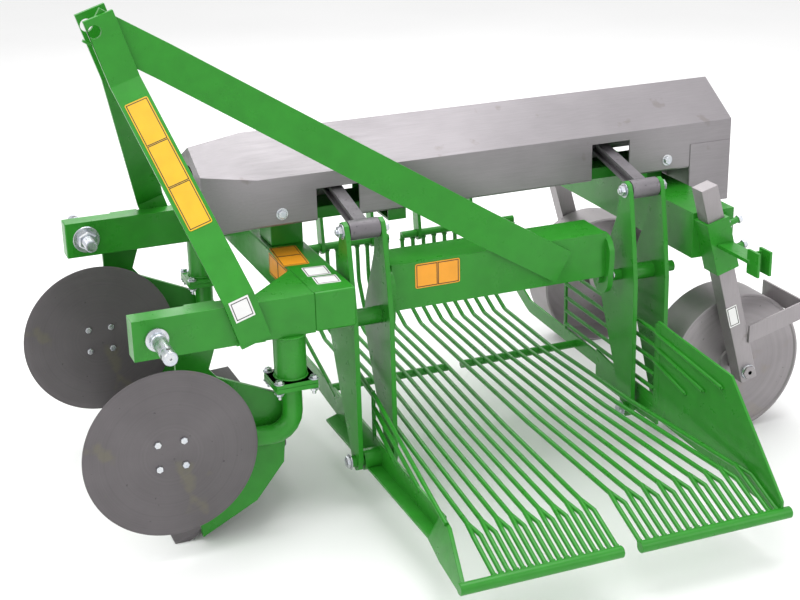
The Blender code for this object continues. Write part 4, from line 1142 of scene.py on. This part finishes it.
class HARVESTER_OT_fasteners(bpy.types.Operator):
    """Builds the zinc bolts and nuts, each group on the body that it fastens"""

    bl_idname = "harvester.fasteners"
    bl_label = "Bolts and nuts"

    def execute(self, context):
        radius = context.scene.harvester_sizes.bolt
        zinc = finish("zinc plate")
        for word in ("front", "rear"):
            eye = joint_place(f"rod_{word}_swing")
            bolts = Shape()
            for side in (1, -1):
                foot = eye + Vector((side * ROD_BOLT_OUT, 0, 0))
                bolts.hex_bolt(foot, (side, 0, 0), radius, 0.0088, stub=0.004 if side > 0 else 0.0)
            slotted(bolts.piece(f"rocker_{word}_bolts", zinc, "rocker_" + word, 0.0005, 1))
            rocker = joint_place(f"rocker_{word}_swing").x
            pin = joint_place(f"sieve_{word}_swing")
            bolts = Shape()
            bolts.hex_bolt((rocker + SIEVE_BOLT_OUT, pin.y, pin.z), (1, 0, 0), radius * 1.05, 0.0075)
            slotted(bolts.piece(f"sieve_{word}_bolts", zinc, "sieve_" + word, 0.0005, 1))
        bolts = Shape()
        self.add_cover_bolts(bolts, radius * 0.78)
        for word in ("left", "right"):
            self.add_clamp_bolts(bolts, word)
        for word in ("left", "right"):
            self.add_sleeve_bolts(bolts, word)
        pivot = joint_place("rocker_front_swing")
        for reach, way in PIVOT_BOLTS:
            spot = Vector((HITCH.x + reach + way * 0.012, pivot.y, pivot.z))
            bolts.hex_bolt(spot + Vector((0, 0.026, 0.012)), (way, 0, 0), radius * 0.6, 0.004)
        slotted(bolts.piece("frame_bolts", zinc, "frame", 0.0005, 1))
        return {"FINISHED"}

    def add_cover_bolts(self, bolts, radius):
        low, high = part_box("drive_cover")
        for x in (low.x + COVER_BOLT_FROM_REAR, high.x - COVER_BOLT_FROM_NOSE):
            for side in (1, -1):
                foot = (x, HITCH.y + side * (high.y - low.y) / 2, COVER_BOLT_HEIGHT)
                bolts.hex_bolt(foot, (0, side, 0), radius, 0.006)

    def add_clamp_bolts(self, bolts, word):
        """The four bolts of the flanges that hold a disc's arm under its post."""
        node = "disc_post_" + word
        centre, plate = middle(node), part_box(node)[0].z
        for a in (1, -1):
            for b in (1, -1):
                spot = Vector((centre.x + a * CLAMP_BOLT_SPREAD, centre.y + b * CLAMP_BOLT_SPREAD, plate))
                above, below = spot + Vector((0, 0, 0.0088)), spot - Vector((0, 0, 0.0094))
                bolts.hex_bolt(above, (0, 0, 1), CLAMP_BOLT_RADIUS, CLAMP_BOLT_HEAD)
                bolts.hex_bolt(below, (0, 0, -1), CLAMP_BOLT_RADIUS, CLAMP_BOLT_HEAD, stub=0.007)

    def add_sleeve_bolts(self, bolts, word):
        """The two clamping bolts of a wheel leg's sleeve, with their threaded ends and lock nuts."""
        axis = Vector(JOINTS[f"wheel_leg_{word}_height"]["axis"]).normalized()
        across = Vector((axis.z, 0, -axis.x))
        wheel = joint_place(f"wheel_{word}_spin")
        tube = leg_outside(word) - (0.020 if word == "left" else -0.020)
        for height in SLEEVE_BOLT_HEIGHTS:
            foot = Vector((wheel.x, tube, wheel.z)) + axis * height - across * 0.0265
            bolts.lathe(foot, -across, ((0.0125, 0), (0.0125, 0.011), (0.0110, 0.0125)), 6)
            bolts.thread(foot - across * 0.010, -across, 0.0062, 0.024, 0.002)
            nut = ((0.0100, 0), (0.0100, 0.007), (0.0086, 0.0085))
            bolts.lathe(foot - across * 0.0335, -across, nut, 6)


class HARVESTER_OT_welds(bpy.types.Operator):
    """Runs weld beads along the frame's main joints"""

    bl_idname = "harvester.welds"
    bl_label = "Welds"

    def execute(self, context):
        radius = context.scene.harvester_sizes.weld
        rng = random.Random(7)
        beads = Shape()
        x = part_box("cross_beam")[1].x
        for side, word in ((1, "left"), (-1, "right")):
            low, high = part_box("hitch_arm_" + word)
            for y in (low.y + 0.004, high.y - 0.004):
                beads.weld(((x, y, low.z + 0.004), (x, y, high.z - 0.004)), radius * 0.8, rng)
            beads.weld(((x, low.y + 0.003, high.z), (x, high.y - 0.003, high.z)), radius * 0.7, rng)
            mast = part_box("mast_leg_" + word)[0].x
            foot_y = (high.y if side > 0 else low.y) + side * 0.010
            seam = [(mast + reach, foot_y, low.z + 0.004) for reach in (0.012, 0.070)]
            beads.weld(seam, radius * 0.6, rng)
            post_low, post_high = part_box("disc_post_" + word)
            centre = middle("disc_post_" + word)
            ring = [
                Vector((centre.x + 0.0325 * math.cos(t), centre.y + 0.0325 * math.sin(t), post_low.z + 0.010))
                for t in (2 * math.pi * i / 20 for i in range(21))
            ]
            beads.weld(ring, radius * 0.8, rng)
            up = Vector((0, 0, post_high.z - post_low.z - 0.0115))
            beads.weld([point + up for point in ring], radius * 0.8, rng)
        paint, smooth = finish("gloss green paint"), math.radians(60)
        slotted(beads.piece("frame_welds", paint, "frame", smooth_under=smooth))
        return {"FINISHED"}


LABEL_LINE = 0.0016
LABEL_GAP = 0.0004
MAST_LEG_SLOPE = 0.176 / 0.555


def sticker(shape, centre, along, across, long, wide, rows=1, corner=0.004, inset=0.0022):
    """A film with rounded corners, in the first finish, and a printed frame for each row, in the second."""
    centre = Vector(centre)
    along, across = Vector(along).normalized(), Vector(across).normalized()
    out = along.cross(across).normalized()

    def spot(u, v, lift):
        return centre + along * u + across * v + out * lift

    outline = []
    for su, sv, start in ((1, 1, 0), (-1, 1, 90), (-1, -1, 180), (1, -1, 270)):
        for i in range(4):
            t = math.radians(start + 30 * i)
            middle_u, middle_v = su * (long / 2 - corner), sv * (wide / 2 - corner)
            outline.append((middle_u + corner * math.cos(t), middle_v + corner * math.sin(t)))
    shape.loft([[spot(u, v, lift) for u, v in outline] for lift in (0.0, STICKER_LIFT)])
    cell = (long - 2 * inset) / rows
    for row in range(rows):
        start = -long / 2 + inset + cell * row
        u0, u1 = start + inset * 0.3, start + cell - inset * 0.3
        v0, v1 = -wide / 2 + inset, wide / 2 - inset
        for a0, a1, b0, b1 in (
            (u0, u1, v0, v0 + LABEL_LINE), (u0, u1, v1 - LABEL_LINE, v1),
            (u0, u0 + LABEL_LINE, v0, v1), (u1 - LABEL_LINE, u1, v0, v1),
        ):
            corners = ((a0, b0), (a1, b0), (a1, b1), (a0, b1))
            lifts = (STICKER_LIFT * 0.5, STICKER_LIFT * 1.35)
            shape.loft([[spot(u, v, lift) for u, v in corners] for lift in lifts], 1)


class HARVESTER_OT_labels(bpy.types.Operator):
    """Puts blank labels and plates on the mast, the beams and the wheel leg"""

    bl_idname = "harvester.labels"
    bl_label = "Blank labels"

    def execute(self, context):
        ink = finish("label ink and painted shade")
        mast_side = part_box("mast_leg_left")[1].y
        top = from_hitch(-0.0890, 0.0440, 0.880)
        foot = Vector((HITCH.x - 0.2030, mast_side, 0.520))
        down = (foot - top).normalized()
        lean = math.atan(MAST_LEG_SLOPE)
        out = down.cross(Vector((math.cos(lean), 0, -math.sin(lean)))).normalized()
        if out.y < 0:
            out = -out
        yellow = Shape()
        place = top.lerp(foot, 0.385) + out * LABEL_GAP
        sticker(yellow, place, down, out.cross(down), 0.285, 0.048, 3)
        yellow.piece("mast_label", [finish("yellow print"), ink], "frame")

        white = Shape()
        down = Vector((-0.30, 0, -0.95))
        place = (HITCH.x - 0.2075, mast_side + LABEL_GAP, 0.498)
        sticker(white, place, down, down.cross(Vector((0, -1, 0))), 0.044, 0.040, corner=0.001, inset=0.003)
        white.piece("hook_label", [finish("white print"), ink], "frame")

        beams = Shape()
        arm_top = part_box("hitch_arm_left")[1].z + 0.0003
        cross_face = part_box("cross_beam")[1].x + 0.0003
        askew, askew_across = (0.08, 1, 0), (-1, 0.08, 0)
        sticker(beams, from_hitch(-0.3790, 0.1130, arm_top), askew, askew_across, 0.120, 0.056, 2)
        place = (cross_face, HITCH.y + 0.1130, arm_top - 0.030)
        sticker(beams, place, (0, 1, 0), (0, 0, 1), 0.120, 0.046, 2)
        sticker(beams, from_hitch(-0.6440, 0.2613, 0.4720), (-1, 0, 0), (0, 0, 1), 0.098, 0.052, 2)
        beams.piece("beam_labels", [finish("orange print"), ink], "frame")

        plates = Shape()
        for x, y, long in ((-0.3990, 0.2240, 0.052), (-0.4010, 0.2790, 0.042)):
            sticker(plates, from_hitch(x, y, arm_top), askew, askew_across, long, 0.048, corner=0.0015)
        plates.piece("maker_plates", [finish("white print"), ink], "frame")

        leg = Shape()
        down = -Vector(JOINTS["wheel_leg_left_height"]["axis"]).normalized()
        place = (HITCH.x - 1.2960, leg_outside("left") + LABEL_GAP, 0.300)
        sticker(leg, place, down, down.cross(Vector((0, -1, 0))), 0.048, 0.026, corner=0.001)
        leg.piece("leg_label", [finish("white print"), ink], "leg_left")
        return {"FINISHED"}


FLOOR_REACH = 40.0
CAMERA_PLACE = (0.5294, 3.0165, 1.5508)
CAMERA_TURN = (69.234, 1.260, 157.929)  # degrees about X, then Y, then Z


class HARVESTER_OT_stage(bpy.types.Operator):
    """Sets the pale floor, the soft lamps and the camera"""

    bl_idname = "harvester.stage"
    bl_label = "Stage"

    def execute(self, context):
        scene = context.scene
        stage = scene.harvester_stage
        floor = Shape()
        floor.block((-FLOOR_REACH, -FLOOR_REACH, -0.02), (FLOOR_REACH, FLOOR_REACH, -0.0004))
        mesh = bpy.data.meshes.new("floor")
        floor.bm.to_mesh(mesh)
        floor.bm.free()
        ground = bpy.data.objects.new("floor", mesh)
        scene.collection.objects.link(ground)
        material, tree, shader = start_material("pale floor")
        shade = rgba(stage.floor, 0.97)
        clouds = use_group(tree, "Mottle", Colour=rgba(stage.floor), Tint=shade, Scale=0.8, Amount=1.0)
        tree.links.new(clouds.outputs["Colour"], shader.inputs["Base Color"])
        shader.inputs["Roughness"].default_value = 0.9
        shader.inputs["Specular IOR Level"].default_value = 0.1
        mesh.materials.append(material)

        world = bpy.data.worlds.new("surround")
        world.use_nodes = True
        background = world.node_tree.nodes["Background"]
        background.inputs["Color"].default_value = (1.0, 1.0, 1.0, 1.0)
        background.inputs["Strength"].default_value = stage.surround
        scene.world = world
        scene.view_settings.view_transform = "Standard"

        centre = from_hitch(-0.65, 0.1, 0.4)
        for name, spot, size, power in (
            ("overhead", (-0.6, -0.2, 3.6), 3.4, stage.key),
            ("front", (2.2, 1.6, 2.4), 2.2, stage.key * 0.22),
            ("left", (-2.6, 2.8, 1.9), 2.0, stage.key * 0.16),
            ("rear", (-1.4, -3.0, 2.6), 2.4, stage.key * 0.40),
        ):
            place = from_hitch(*spot)
            lamp = bpy.data.lights.new(name, "AREA")
            lamp.shape = "DISK"
            lamp.size = size
            lamp.energy = power
            holder = bpy.data.objects.new(name + "_lamp", lamp)
            holder.location = place
            holder.rotation_euler = (centre - place).to_track_quat("-Z", "Y").to_euler()
            scene.collection.objects.link(holder)

        lens = bpy.data.cameras.new("camera")
        lens.lens = stage.lens
        lens.sensor_width = 36.0
        camera = bpy.data.objects.new("camera", lens)
        camera.location = from_hitch(*CAMERA_PLACE)
        camera.rotation_euler = [math.radians(angle) for angle in CAMERA_TURN]
        scene.collection.objects.link(camera)
        scene.camera = camera
        return {"FINISHED"}


OPERATORS = (
    HARVESTER_OT_stage,
    HARVESTER_OT_frame,
    HARVESTER_OT_rockers,
    HARVESTER_OT_sieves,
    HARVESTER_OT_drive,
    HARVESTER_OT_cover,
    HARVESTER_OT_share,
    HARVESTER_OT_discs,
    HARVESTER_OT_wheels,
    HARVESTER_OT_pins,
    HARVESTER_OT_fasteners,
    HARVESTER_OT_welds,
    HARVESTER_OT_labels,
)


class HARVESTER_PT_sidebar(bpy.types.Panel):
    """Lists the harvester's settings and the operators that build its pieces"""

    bl_idname = "HARVESTER_PT_sidebar"
    bl_label = "Potato Harvester"
    bl_space_type = "VIEW_3D"
    bl_region_type = "UI"
    bl_category = "Harvester"

    def draw(self, context):
        for group in SETTING_GROUPS:
            settings = getattr(context.scene, group)
            box = self.layout.box()
            for setting in settings.bl_rna.properties:
                if setting.identifier not in ("rna_type", "name"):
                    box.prop(settings, setting.identifier)
        column = self.layout.column(align=True)
        for operator in OPERATORS:
            column.operator(operator.bl_idname)


def register():
    for name, group in SETTING_GROUPS.items():
        bpy.utils.register_class(group)
        setattr(bpy.types.Scene, name, bpy.props.PointerProperty(type=group))
    for made in (*OPERATORS, HARVESTER_PT_sidebar):
        bpy.utils.register_class(made)


def unregister():
    for made in reversed((*OPERATORS, HARVESTER_PT_sidebar)):
        bpy.utils.unregister_class(made)
    for name, group in SETTING_GROUPS.items():
        delattr(bpy.types.Scene, name)
        bpy.utils.unregister_class(group)


def main():
    register()
    for operator in OPERATORS:
        family, name = operator.bl_idname.split(".")
        getattr(getattr(bpy.ops, family), name)()


if __name__ == "__main__":
    main()
